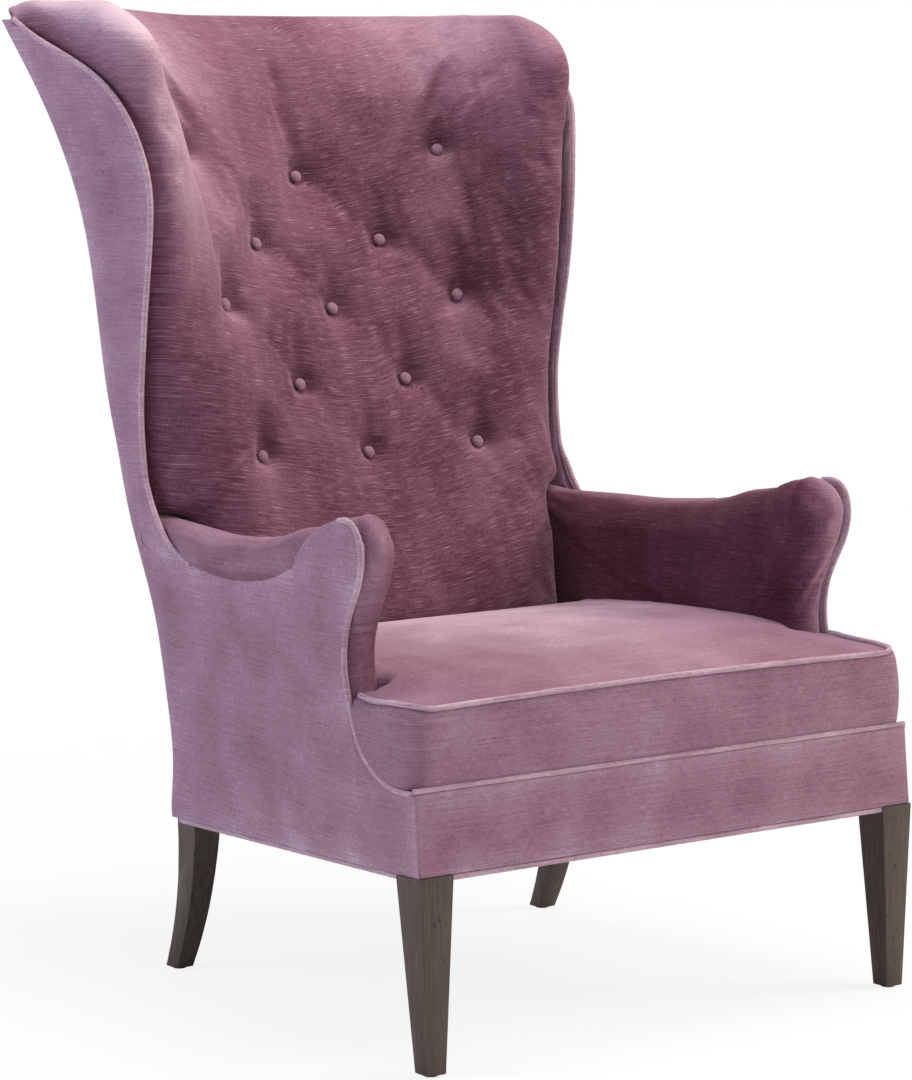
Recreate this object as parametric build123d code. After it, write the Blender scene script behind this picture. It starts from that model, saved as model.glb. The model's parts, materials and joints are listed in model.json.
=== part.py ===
from build123d import *
import math
import os

# Wingback chair in millimetres. X runs across, Y from the front to the back, Z up.
# While modelling, Y is measured from the front face of the front legs; at the end the
# whole chair is moved so that the origin lies on the floor under its middle.

# Fits and sheet thicknesses
fit = 0.3                    # clearance between pieces that seat on each other
cover = 3.0                  # upholstered panel: cloth, wadding and backing
rail_thickness = 28.0        # seat rails
frame_depth = 30.0           # back posts and rails, front to back
post_width = 34.0
board_thickness = 20.0       # wing boards
arm_frame_thickness = 28.0
strap_thickness = 1.8
strap_end_gap = 4.0          # from the end of a cross strap to the wing board beside it
back_foam_thickness = 22.0

# Base
base_front = 2.0             # Y of the front bottom edge
base_rear = 578.0            # Y of the rear bottom corners
base_half_rear = 307.0       # half width at the rear bottom corners
front_height = 222.5         # bottom edge at the front
rear_height = 194.5          # bottom edge at the rear
apron_height = 91.5
apron_lean = 9.0             # how far the apron's top lies behind its bottom
rail_height = 86.0
corner_block_reach = 68.0
corner_block_height = 48.0
welt_diameter = 6.0
welt_flats = 8               # flats on the round of the bottom welt
dust_cover_thickness = 1.0
dust_cover_inset = 13.0

# Legs
front_leg_x = 343.0
front_leg_top = 46.0
front_leg_foot = 25.0
rear_leg_x = 284.0
rear_leg_top = 39.0
rear_leg_foot = 24.0
rear_leg_sweep = 46.0        # how far the foot lies behind the top
glide_diameter = 16.0
glide_height = 2.0
glide_pin_width = 2.6
glide_pin_length = 14.0
bolt_diameter = 8.0
bolt_in_leg = 34.0
bolt_in_rail = 36.0

# Back and wings, as (height, value) points that smooth curves follow
top_height = 1156.0
crest_rise = 9.0             # top of the roll above the wing corners
crest_height = top_height + crest_rise
rear_edge = [(rear_height, base_rear), (310, 586), (434, 614), (548, 666), (659, 705), (761, 737), (860, 756),
             (970, 783), (1052, 816), (top_height, 876)]
rear_width = [(rear_height, base_half_rear), (454, 310), (655, 310), (780, 307), (888, 310), (977, 321),
              (1055, 337), (top_height, 359)]
rear_bow = [(rear_height, 10), (624, 26), (965, 46), (top_height, 31)]
side_splay = [(rear_height, 0.0995), (330, 0.092), (450, 0.080), (560, 0.078), (692, 0.086), (823, 0.091),
              (951, 0.023), (1010, 0.012), (1056, 0.05), (top_height, 0.05)]
side_bow = [(rear_height, 1.0), (330, 7.0), (450, 12.0), (560, 11.0), (692, 2.0), (823, 0.6), (top_height, 0.6)]
side_front = -60.0           # front end of the side surfaces, ahead of the apron
wing_edge = [(390, 560), (542, 590), (600, 617), (690, 627), (763, 620), (850, 605), (940, 597), (1010, 608),
             (1058, 631), (1094, 688), (1127, 761), (top_height, 839), (crest_height, 851)]
pad_edge = [(390, 560), (542, 590), (600, 617), (690, 627), (763, 620), (850, 605), (940, 597), (1010, 606),
            (1058, 620), (1094, 635), (1120, 650), (1140, 667), (top_height, 693), (crest_height, 718)]
pad_inset = [(390, 0), (1040, 0), (1094, 2), (1120, 6), (1140, 12), (top_height, 22), (crest_height, 36)]
inside_centre = [(390, 504), (622, 586), (800, 665), (965, 745), (1092, 804), (1130, 836), (top_height, 872),
                 (crest_height, 886)]
inside_hollow = [(390, 4), (622, 11), (800, 31), (980, 48), (1090, 42), (1130, 30), (crest_height, 14)]
hollow_half = 180.0          # half the chord on which the hollow is measured
wing_roll = [(390, 30), (692, 38), (1056, 38), (1093, 36), (1121, 33), (1140, 28), (top_height, 20), (crest_height, 12)]
roll_start = [(390, 20), (692, 20), (823, 35), (951, 45), (1009, 45), (1056, 30), (1093, 14), (1121, 6),
              (crest_height, 6)]
back_bottom = 396.0          # lower end of the inside back
crest_rail_height = 62.0
stay_rail_low = 440.0
stay_rail_height = 52.0
wing_board_low = 604.0
wing_board_high = 1088.0
wing_board_setback = 24.0

# Buttons: height, distance from the middle
button_rows = [(966, 0), (998, 188), (885, 92), (802, 0), (813, 174), (712, 80), (625, 0), (629, 164)]
button_diameter = 14.5
button_height = 6.0
tuft_depth = 11.0
tuft_radius = 36.0
tie_width = 2.2
round_flats = 12             # flats on the round of the buttons and their hollows

# Arms
arm_thickness = 57.0
arm_front = [(300, 142), (391, 145), (432, 150), (490, 141), (528, 120), (563, 112), (592, 120)]
arm_scoop = [(71, 318), (99, 331), (118, 348), (139, 391), (150, 432), (141, 490), (120, 528), (111.5, 563),
             (121, 594), (149, 602)]
arm_seam = [(149, 602), (190, 585), (243, 553), (290, 524), (367, 510), (437, 506), (500, 512), (550, 526)]
arm_nose = 4.0               # how far the rounded front stands ahead of its outer edge
arm_nose_turn = 30.0         # how far behind the outer edge the front meets the inner face
wing_low = 542.0             # where the roll's seam meets the wing's front edge
arm_roll_top = [(104, 574), (111, 589), (124, 602), (140, 607), (155, 607.5), (178, 601), (231, 584), (300, 571),
                (382, 559), (470, 556), (576, 556), (660, 556)]
arm_roll_drop = [(104, 14), (111, 36), (124, 52), (150, 58), (231, 52), (382, 52), (520, 46), (660, 40)]
arm_roll_width = [(104, 28), (111, 34), (120, 42), (140, 54), (160, arm_thickness), (660, arm_thickness)]
arm_overhang = [(104, -14), (111, -8), (125, -4), (182, -2), (231, 8), (345, 24), (450, 21), (560, 7), (660, 0)]
arm_frame_setback = 16.0
arm_stuffing = 24.0          # over the top of the arm rail
arm_post_width = 46.0
arm_rail_height = 42.0
arm_stay_low = 418.0
arm_stay_height = 34.0
arm_pad_bottom = 318.0

# Seat
seat_welt_height = 405.0
seat_front_lean = 7.0        # front welt behind the apron's top edge
seat_crown = 36.0            # middle of the seat above the front welt
seat_ear_end = 136.0         # where the ears stop in front of the arms
seat_corner_radius = 24.0
spring_count = 5
spring_wire = 3.8
spring_width = 46.0
spring_corner = 9.0          # slanted corners of each turn
spring_turns = 11
spring_clip = 18.0
spring_clip_wall = 1.4
deck_thickness = 1.5
deck_setback = 24.0          # deck cloth starts behind the front spring clips
seat_foam_inset = 26.0

# Outer limits of construction solids
wide = 480.0
back_steps = 14

base_fall = (front_height - rear_height) / (base_rear - base_front)
apron_top = front_height + apron_height
apron_top_y = base_front + apron_lean
frame_near = cover + fit                         # frame's rear face, forward of the outside back
frame_far = frame_near + frame_depth
strap_far = frame_far + fit + 2 * strap_thickness + fit
foam_far = strap_far + fit + back_foam_thickness


def follow(points, place):
    # Smooth curve through the points that never overshoots them, straight beyond both ends.
    spans = list(zip(points, points[1:]))
    slopes = [(b[1] - a[1]) / (b[0] - a[0]) for a, b in spans]
    if place <= points[0][0]:
        return points[0][1] + slopes[0] * (place - points[0][0])
    if place >= points[-1][0]:
        return points[-1][1] + slopes[-1] * (place - points[-1][0])
    tangents = [slopes[0]]
    for before, after in zip(slopes, slopes[1:]):
        tangents.append(2 * before * after / (before + after) if before * after > 0 else 0.0)
    tangents.append(slopes[-1])
    index = max(i for i, (a, b) in enumerate(spans) if a[0] <= place)
    (low, start), (high, end) = spans[index]
    step = high - low
    t = (place - low) / step
    return ((1 + 2 * t) * (1 - t) ** 2 * start + t * (1 - t) ** 2 * step * tangents[index]
            + t * t * (3 - 2 * t) * end + t * t * (t - 1) * step * tangents[index + 1])


def base_z(y, above=0.0):
    # Sloping bottom edge of the base
    return front_height - base_fall * (y - base_front) + above


def side_x(y, z):
    # Outer face of the outside panels: shallow arcs from the rear corner towards the front
    rear = follow(rear_edge, z)
    along = (rear - y) / (rear - side_front)
    return follow(rear_width, z) + follow(side_splay, z) * (rear - y) + follow(side_bow, z) * 4 * along * (1 - along)


def back_y(x, z, inset):
    # Outside back, a flat arc across the chair, moved forward by inset
    half = follow(rear_width, z)
    bow = follow(rear_bow, z)
    radius = (half ** 2 + bow ** 2) / (2 * bow)
    return follow(rear_edge, z) + bow - radius + math.sqrt(radius ** 2 - x ** 2) - inset


def spread(low, high, steps):
    return [low + (high - low) * i / steps for i in range(steps + 1)]


layer_heights = spread(180.0, crest_height, back_steps)


def closed_face(edges):
    return Face(Wire(edges))


def across(outline):
    # Side-view outline of (y, z) edges, extruded right across the chair
    return extrude(closed_face(outline), amount=wide, dir=(1, 0, 0), both=True)


def yz(point):
    return Vector(0, point[0], point[1])


def chain(points):
    # Straight edges through side-view points, closed
    places = [yz(p) for p in points]
    return [Line(a, b) for a, b in zip(places, places[1:] + places[:1])]


def back_band(near, far, left, right):
    # Layer of the back between two distances from the outside back, and between two widths
    sections = []
    for z in layer_heights:
        x_left = left(z)
        x_right = right(z)
        middle = (x_left + x_right) / 2
        corners = [Vector(x, back_y(x, z, inset), z) for inset in (near, far) for x in (x_left, middle, x_right)]
        sections.append(closed_face([
            ThreePointArc(corners[0], corners[1], corners[2]), Line(corners[2], corners[5]),
            ThreePointArc(corners[5], corners[4], corners[3]), Line(corners[3], corners[0])]))
    return loft(sections)


def side_arc(z, inset, front, rear, way=1):
    # Three places along a side, inside its outer face by inset
    return [Vector(way * (side_x(y, z) - inset), y, z) for y in (front, (front + rear) / 2, rear)]


def side_band(near, far):
    # Layer of the right side between two distances inside the outer face
    sections = []
    for z in layer_heights:
        rear = follow(rear_edge, z)
        outer = side_arc(z, near, side_front, rear)
        inner = side_arc(z, far, side_front, rear)
        sections.append(closed_face([ThreePointArc(*outer), Line(outer[2], inner[2]),
                                     ThreePointArc(*inner[::-1]), Line(inner[0], outer[0])]))
    return loft(sections)


def between_sides(inset):
    # Space between the two outside panels, less inset on both sides
    sections = []
    for z in layer_heights:
        rear = follow(rear_edge, z)
        right = side_arc(z, inset, side_front, rear)
        left = side_arc(z, inset, side_front, rear, way=-1)
        sections.append(closed_face([ThreePointArc(*right), Line(right[2], left[2]),
                                     ThreePointArc(*left[::-1]), Line(left[0], right[0])]))
    return loft(sections)


def slab(low, high):
    return Pos(0, 0, (low + high) / 2) * Box(2 * wide, 6 * wide, high - low)


def left_of(part):
    return mirror(part, about=Plane.YZ)


# Working solids shared by the pieces
below_base = across(chain([(-wide, base_z(-wide)), (3 * wide, base_z(3 * wide)), (3 * wide, -wide), (-wide, -wide)]))
behind_frame = back_band(-60.0, frame_far + fit, lambda z: -follow(rear_width, z), lambda z: follow(rear_width, z))
behind_straps = back_band(-60.0, strap_far + fit, lambda z: -follow(rear_width, z), lambda z: follow(rear_width, z))


def post_outer(z):
    return follow(rear_width, z) - cover - fit - follow(side_splay, z)


def post_inner(z):
    return post_outer(z) - post_width


def rail_reach(z):
    return post_inner(z) - fit


# Back frame: posts, crest rail, stay rail and rear seat rail cut from one curved layer
def make_back_frame():
    layer = back_band(frame_near, frame_far, lambda z: -rail_reach(z), rail_reach)
    post = back_band(frame_near, frame_far, post_inner, post_outer) - below_base
    post &= slab(0, top_height - cover)
    bolt_hole = Pos(rear_leg_x, rear_bolt_y, 0) * Cylinder(bolt_diameter / 2 + fit, 2 * wide)
    post -= bolt_hole & slab(0, base_z(base_rear) + bolt_in_rail + fit)
    crest = layer & slab(top_height - cover - crest_rail_height, top_height - cover)
    stay = layer & slab(stay_rail_low, stay_rail_low + stay_rail_height)
    rear_top = base_z(base_rear, rail_height)
    rear = (layer - below_base) & slab(0, rear_top)
    return {"back_post_right": post, "back_post_left": left_of(post), "crest_rail": crest,
            "back_stay_rail": stay, "seat_rail_rear": rear}


rear_bolt_y = back_y(rear_leg_x, rear_height, frame_near + frame_depth / 2)


def wing_outline(setback, low, high):
    # Side-view outline of a wing, set back from its front edge
    heights = spread(low, high, 9)
    front = [yz((follow(wing_edge, z) + setback, z)) for z in heights]
    behind = 3 * wide
    return [Spline(front), Line(front[-1], yz((behind, high))), Line(yz((behind, high)), yz((behind, low))),
            Line(yz((behind, low)), front[0])]


def make_wing_boards():
    board = side_band(cover + fit, cover + fit + board_thickness)
    board &= across(wing_outline(wing_board_setback, wing_board_low, wing_board_high))
    board -= behind_frame
    return {"wing_board_right": board, "wing_board_left": left_of(board)}


# Outside panels
def panel_outline():
    front_bottom = yz((base_front + cover + fit, base_z(base_front)))
    front_top = yz((apron_top_y + cover + fit, apron_top))
    scoop = [front_top] + [yz(p) for p in arm_scoop]
    wing = [yz((follow(wing_edge, z), z)) for z in spread(wing_low, top_height, 12)]
    seam = [yz(p) for p in arm_seam] + wing[:1]
    far = 3 * wide
    return [Line(front_bottom, front_top), Spline(scoop), Spline(seam), Spline(wing),
            Line(wing[-1], yz((far, top_height))), Line(yz((far, top_height)), yz((far, base_z(far)))),
            Line(yz((far, base_z(far))), front_bottom)]


def make_outside_panels(arm_clear):
    side = side_band(0.0, cover) & across(panel_outline())
    side -= arm_clear
    inner = lambda z: follow(rear_width, z) - cover - fit - cover * follow(side_splay, z)
    back = (back_band(0.0, cover, lambda z: -inner(z), inner) - below_base) & slab(0, top_height)
    return {"outside_panel_right": side, "outside_panel_left": left_of(side), "outside_back_panel": back}


# Inside back: horizontal sections with a hollow middle, coves and rolled wing edges
def inside_section(z):
    edge_y = follow(pad_edge, z)
    edge_x = side_x(edge_y, z) - cover - fit - follow(pad_inset, z)
    start = math.radians(follow(roll_start, z))
    roll = follow(wing_roll, z)
    centre_y = follow(inside_centre, z)
    hollow = follow(inside_hollow, z)
    hollow_radius = (hollow_half ** 2 + hollow ** 2) / (2 * hollow)
    edge = Vector(edge_x, edge_y)
    nose = edge - Vector(math.cos(start), -math.sin(start)) * roll
    lean = math.asin(hollow_half / hollow_radius)
    across_normal = Vector(math.sin(lean), math.cos(lean))
    cove_start = Vector(hollow_half, centre_y - hollow)
    gap = cove_start - nose
    cove_radius = (gap.dot(gap) - roll ** 2) / (2 * (gap.dot(across_normal) + roll))
    cove_centre = cove_start - across_normal * cove_radius
    cove_end = cove_centre + (nose - cove_centre).normalized() * abs(cove_radius)
    cove_middle = cove_centre + ((cove_start - cove_centre).normalized()
                                 + (cove_end - cove_centre).normalized()).normalized() * abs(cove_radius)
    nose_middle = nose + ((cove_end - nose).normalized() + (edge - nose).normalized()).normalized() * roll
    rear_inset = cover + fit + max(0.0, z - top_height) * 1.2
    rear_x = follow(rear_width, z) - cover - fit - follow(pad_inset, z)
    rear_corner = Vector(rear_x, back_y(rear_x, z, rear_inset))
    points = [rear_corner, edge, nose_middle, cove_end, cove_middle, cove_start]
    right = [Vector(p.X, p.Y, z) for p in points]
    left = [Vector(-p.X, p.Y, z) for p in points]
    middle = Vector(0, centre_y, z)
    rear_middle = Vector(0, back_y(0, z, rear_inset), z)
    return closed_face([
        Line(right[0], right[1]), ThreePointArc(right[1], right[2], right[3]),
        ThreePointArc(right[3], right[4], right[5]), ThreePointArc(right[5], middle, left[5]),
        ThreePointArc(left[5], left[4], left[3]), ThreePointArc(left[3], left[2], left[1]),
        Line(left[1], left[0]), ThreePointArc(left[0], rear_middle, right[0])])


def inside_y(x, z):
    hollow = follow(inside_hollow, z)
    radius = (hollow_half ** 2 + hollow ** 2) / (2 * hollow)
    return follow(inside_centre, z) - radius + math.sqrt(radius ** 2 - x ** 2)


def button_planes():
    # One plane on the inside back for each button, facing out of the cloth
    planes = []
    reach = 4.0
    for height, distance in button_rows:
        for x in sorted({distance, -distance}):
            slope_x = (inside_y(x + reach, height) - inside_y(x - reach, height)) / (2 * reach)
            slope_z = (inside_y(x, height + reach) - inside_y(x, height - reach)) / (2 * reach)
            normal = Vector(slope_x, -1, slope_z).normalized()
            planes.append(Plane(Vector(x, inside_y(x, height), height), x_dir=(1, 0, 0), z_dir=normal))
    return planes


def stacked(profile):
    # Many-sided solid about Z through (radius, height) rings
    rings = [Pos(0, 0, height) * RegularPolygon(radius, round_flats) for radius, height in profile]
    return Part() + [loft([low, high], ruled=True) for low, high in zip(rings, rings[1:])]


def tuft_cutter():
    # Trumpet-shaped hollow round a button, from its seat out to the cloth
    seat_radius = button_diameter / 2 + 1.5
    rim = 2.0
    return stacked([(seat_radius, -tuft_depth), ((seat_radius + tuft_radius) / 2.4, -0.42 * tuft_depth),
                    (tuft_radius, rim)])


def make_back():
    heights = [back_bottom, 480, 560, 630, 692, 758, 823, 888, 951, 1009, 1056, 1093, 1118, 1137, top_height - 6,
               top_height + 3, crest_height]
    pad = loft([inside_section(z) for z in heights])
    frame_cut = behind_straps & slab(0, top_height - cover + fit)
    foam_half = lambda z: post_inner(z) - 14.0
    foam = back_band(strap_far + fit, foam_far, lambda z: -foam_half(z), foam_half) & slab(
        stay_rail_low + 4, top_height - cover - crest_rail_height + 30)
    foam_clear = back_band(strap_far, foam_far + fit, lambda z: -foam_half(z) - fit, lambda z: foam_half(z) + fit)
    foam_clear &= slab(stay_rail_low + 4 - fit, top_height - cover - crest_rail_height + 30 + fit)
    board_clear = side_band(0.0, cover + fit + board_thickness + fit)
    board_clear &= across(wing_outline(wing_board_setback - fit, wing_board_low - fit, wing_board_high + fit))
    arm_gap = side_band(-wide / 4, arm_thickness + fit) & slab(0, follow(arm_roll_top, 620) + 3)
    panel_clear = side_band(-wide / 8, cover + fit)
    for cutter in (frame_cut, foam_clear, panel_clear, left_of(panel_clear), board_clear, left_of(board_clear),
                   arm_gap, left_of(arm_gap)):
        pad -= cutter
    planes = button_planes()
    buttons = []
    ties = []
    tie_length = 150.0
    tie_hole = Pos(0, 0, -tie_length / 2) * Box(tie_width + 2 * fit, tie_width + 2 * fit, tie_length)
    radius = button_diameter / 2
    dome = Pos(0, 0, -tuft_depth) * stacked([(radius, 0), (radius, 0.4 * button_height), (0.6 * radius, button_height)])
    tie_zone = back_band(strap_far + fit, 300.0, lambda z: -follow(rear_width, z), lambda z: follow(rear_width, z))
    for plane in planes:
        pad -= plane * tuft_cutter()
        pad -= plane * tie_hole
        foam -= plane * tie_hole
        buttons.append(plane * dome)
        tie = Pos(0, 0, -tuft_depth - tie_length / 2) * Box(tie_width, tie_width, tie_length)
        ties.append((plane * tie) & tie_zone)
    return {"inside_back": pad, "back_foam": foam, "back_buttons": Compound(children=buttons),
            "button_ties": Compound(children=ties)}


def make_back_webbing():
    cross = []
    near = frame_far + fit
    for z in spread(stay_rail_low + 110, top_height - cover - crest_rail_height - 90, 4):
        reach = lambda h: post_outer(h) - board_thickness - strap_end_gap
        strap = back_band(near, near + strap_thickness, lambda h: -reach(h), reach)
        cross.append(strap & slab(z - 25, z + 25))
    upright = []
    near = frame_far + fit + strap_thickness + fit
    for x in (-150.0, 0.0, 150.0):
        strap = back_band(near, near + strap_thickness, lambda h: x - 25.0, lambda h: x + 25.0)
        upright.append(strap & slab(stay_rail_low + 6, top_height - cover - 8))
    return {"back_webbing_cross": Compound(children=cross), "back_webbing_upright": Compound(children=upright)}


# Arms: a body with a rounded front and a roll along the top
def roll_section(y, grow):
    top = follow(arm_roll_top, y)
    drop = follow(arm_roll_drop, y)
    middle_z = top - drop / 2
    outer = side_x(y, middle_z) + follow(arm_overhang, y) + grow
    inner = side_x(y, middle_z) - follow(arm_roll_width, y) - grow
    middle_x = (inner + outer) / 2
    half_x = (outer - inner) / 2
    half_z = drop / 2 + grow
    spots = [Vector(middle_x + half_x * math.cos(math.radians(45 * i)), y,
                    middle_z + half_z * math.sin(math.radians(45 * i))) for i in range(9)]
    return closed_face([ThreePointArc(spots[i], spots[i + 1], spots[i + 2]) for i in (0, 2, 4)]
                       + [ThreePointArc(spots[6], spots[7], spots[0])])


def arm_section(z):
    front = follow(arm_front, z)
    turn = front + arm_nose_turn
    outer = side_arc(z, cover + fit, front, arm_rear)
    inner = side_arc(z, arm_thickness, turn, arm_rear)
    nose = Vector(side_x(front, z) - 0.45 * arm_thickness, front - arm_nose, z)
    return closed_face([ThreePointArc(*outer[::-1]), ThreePointArc(outer[0], nose, inner[0]),
                        ThreePointArc(*inner), Line(inner[2], outer[2])])


arm_rear = 640.0
roll_places = [104, 108, 114, 124, 140, 160, 190, 231, 290, 345, 400, 460, 520, 580, arm_rear]


def behind_arm_front(setback):
    # Everything behind the arm's rounded front, set back from it
    front = [yz((follow(arm_front, z) + setback, z)) for z in spread(290.0, 590.0, 6)]
    far = 3 * wide
    return across([Spline(front), Line(front[-1], yz((far, front[-1].Z))),
                   Line(yz((far, front[-1].Z)), yz((far, front[0].Z))), Line(yz((far, front[0].Z)), front[0])])


def under_arm_top(drop):
    # Everything below a line that runs along the arm, dropped from the top of its roll
    top = [yz((y, drop(y))) for y in roll_places]
    start = yz((-wide, top[0].Z))
    far = 3 * wide
    return across([Line(start, top[0]), Spline(top), Line(top[-1], yz((far, top[-1].Z))),
                   Line(yz((far, top[-1].Z)), yz((far, 0))), Line(yz((far, 0)), yz((-wide, 0))),
                   Line(yz((-wide, 0)), start)])


def make_arms():
    roll = loft([roll_section(y, 0.0) for y in roll_places])
    body = loft([arm_section(z) for z in (arm_pad_bottom, 380, 430, 475, 515, 545, 566, 580)])
    body &= under_arm_top(lambda y: follow(arm_roll_top, y) - follow(arm_roll_drop, y) / 2)
    body -= side_band(-wide / 8, cover + fit)
    frame_top = under_arm_top(lambda y: follow(arm_roll_top, y) - arm_stuffing)
    space = side_band(0.0, cover + fit + arm_frame_thickness + fit) & behind_arm_front(arm_frame_setback) & frame_top
    pad = body + roll - space - behind_straps
    roll_clear = loft([roll_section(y, fit) for y in roll_places])
    layer = side_band(cover + fit, cover + fit + arm_frame_thickness) - behind_frame
    rail_top = across(chain([(-wide, base_z(-wide, rail_height)), (3 * wide, base_z(3 * wide, rail_height)),
                             (3 * wide, 0), (-wide, 0)]))
    layer = (layer & under_arm_top(lambda y: follow(arm_roll_top, y) - arm_stuffing - fit)) - rail_top
    layer &= behind_arm_front(arm_frame_setback + fit)
    post = layer - behind_arm_front(arm_frame_setback + arm_post_width)
    rest = layer & behind_arm_front(arm_frame_setback + arm_post_width + fit)
    rail = rest - under_arm_top(lambda y: follow(arm_roll_top, y) - arm_stuffing - arm_rail_height)
    stay = rest & slab(arm_stay_low, arm_stay_low + arm_stay_height)
    return {"arm_pad_right": pad, "arm_pad_left": left_of(pad), "arm_post_right": post, "arm_post_left": left_of(post),
            "arm_rail_right": rail, "arm_rail_left": left_of(rail), "arm_stay_right": stay,
            "arm_stay_left": left_of(stay)}, roll_clear


# Seat frame, apron and legs
def make_base():
    inside = between_sides(cover + fit)
    near = base_front + cover + fit
    back = near + apron_lean + rail_thickness
    front = across(chain([(near, base_z(near)), (near + apron_lean, base_z(near + apron_lean, rail_height)),
                          (back, base_z(back, rail_height)), (back, base_z(back))]))
    front &= inside
    front_bolt = Pos(front_leg_x, front_bolt_y, 0) * Cylinder(bolt_diameter / 2 + fit, 2 * wide)
    front_bolt &= slab(0, front_height + bolt_in_rail + fit)
    front = front - front_bolt - left_of(front_bolt)
    side = side_band(cover + fit, cover + fit + rail_thickness) - below_base - behind_frame
    side &= across(chain([(back + fit, base_z(back + fit)), (back + fit, base_z(back + fit, rail_height)),
                          (3 * wide, base_z(3 * wide, rail_height)), (3 * wide, base_z(3 * wide))]))
    apron = across(chain([(base_front, base_z(base_front)), (apron_top_y, apron_top), (apron_top_y + cover, apron_top),
                          (base_front + cover, base_z(base_front))])) & between_sides(0.0)
    rear_face = follow(rear_edge, rear_height + rail_height / 2) - frame_far - fit
    rail_clear = side_band(0.0, cover + fit + rail_thickness + fit)
    blocks = []
    for y, way in ((back + fit, 1), (rear_face - 4, -1)):
        corner = side_x(y, front_height) - cover - fit - rail_thickness - fit
        other = side_x(y + way * corner_block_reach, front_height) - cover - fit - rail_thickness - fit
        plan = [(corner, y), (other, y + way * corner_block_reach), (corner - corner_block_reach, y)]
        places = [Vector(px, py, base_z(py, 6.0)) for px, py in plan]
        face = closed_face([Line(a, b) for a, b in zip(places, places[1:] + places[:1])])
        block = extrude(face, amount=corner_block_height, dir=(0, 0, 1)) - rail_clear
        blocks += [block, left_of(block)]
    inset = dust_cover_inset
    dust = across(chain([(base_front + inset, base_z(base_front + inset)), (base_rear - inset, base_z(base_rear - inset)),
                         (base_rear - inset, base_z(base_rear - inset, -dust_cover_thickness)),
                         (base_front + inset, base_z(base_front + inset, -dust_cover_thickness))]))
    dust &= between_sides(inset)
    for x, y, size in ((front_leg_x, front_leg_top / 2, front_leg_top), (rear_leg_x, rear_bolt_y, rear_leg_top)):
        notch = Pos(x, y, front_height) * Box(size + 8, size + 8, 4 * rail_height)
        dust = dust - notch - left_of(notch)
    return {"seat_rail_front": front, "seat_rail_right": side, "seat_rail_left": left_of(side), "front_apron": apron,
            "corner_blocks": Compound(children=blocks), "dust_cover": dust}


front_bolt_y = base_front + cover + fit + apron_lean + rail_thickness / 2


def welt_path(inset, drop):
    # Route of the bottom welt, in the sloping plane of the base
    spots = []
    for x_sign, y in ((-1, base_front), (1, base_front), (1, base_rear), (-1, base_rear)):
        inward = inset if y == base_front else -inset
        half = side_x(y, base_z(y)) - inset
        spots.append(Vector(x_sign * half, y + inward, base_z(y + inward, -drop)))
    return FilletPolyline(*spots, radius=inset * 1.5, close=True)


def make_welts():
    radius = welt_diameter / 2
    bottom = welt_path(radius, radius + fit / 3)
    start = bottom @ 0.2
    base = sweep(Plane(start, z_dir=bottom % 0.2) * RegularPolygon(radius, welt_flats), path=bottom)
    clear = sweep(Plane(start, z_dir=bottom % 0.2) * Rectangle(welt_diameter + 2 * fit, welt_diameter + 2 * fit),
                  path=bottom)
    half = side_x(apron_top_y, apron_top)
    apron = Pos(0, apron_top_y + radius, apron_top + radius) * Rot(0, 90, 0) * Cylinder(radius, 2 * half)
    return {"base_welt": base, "apron_welt": apron}, clear


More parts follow.
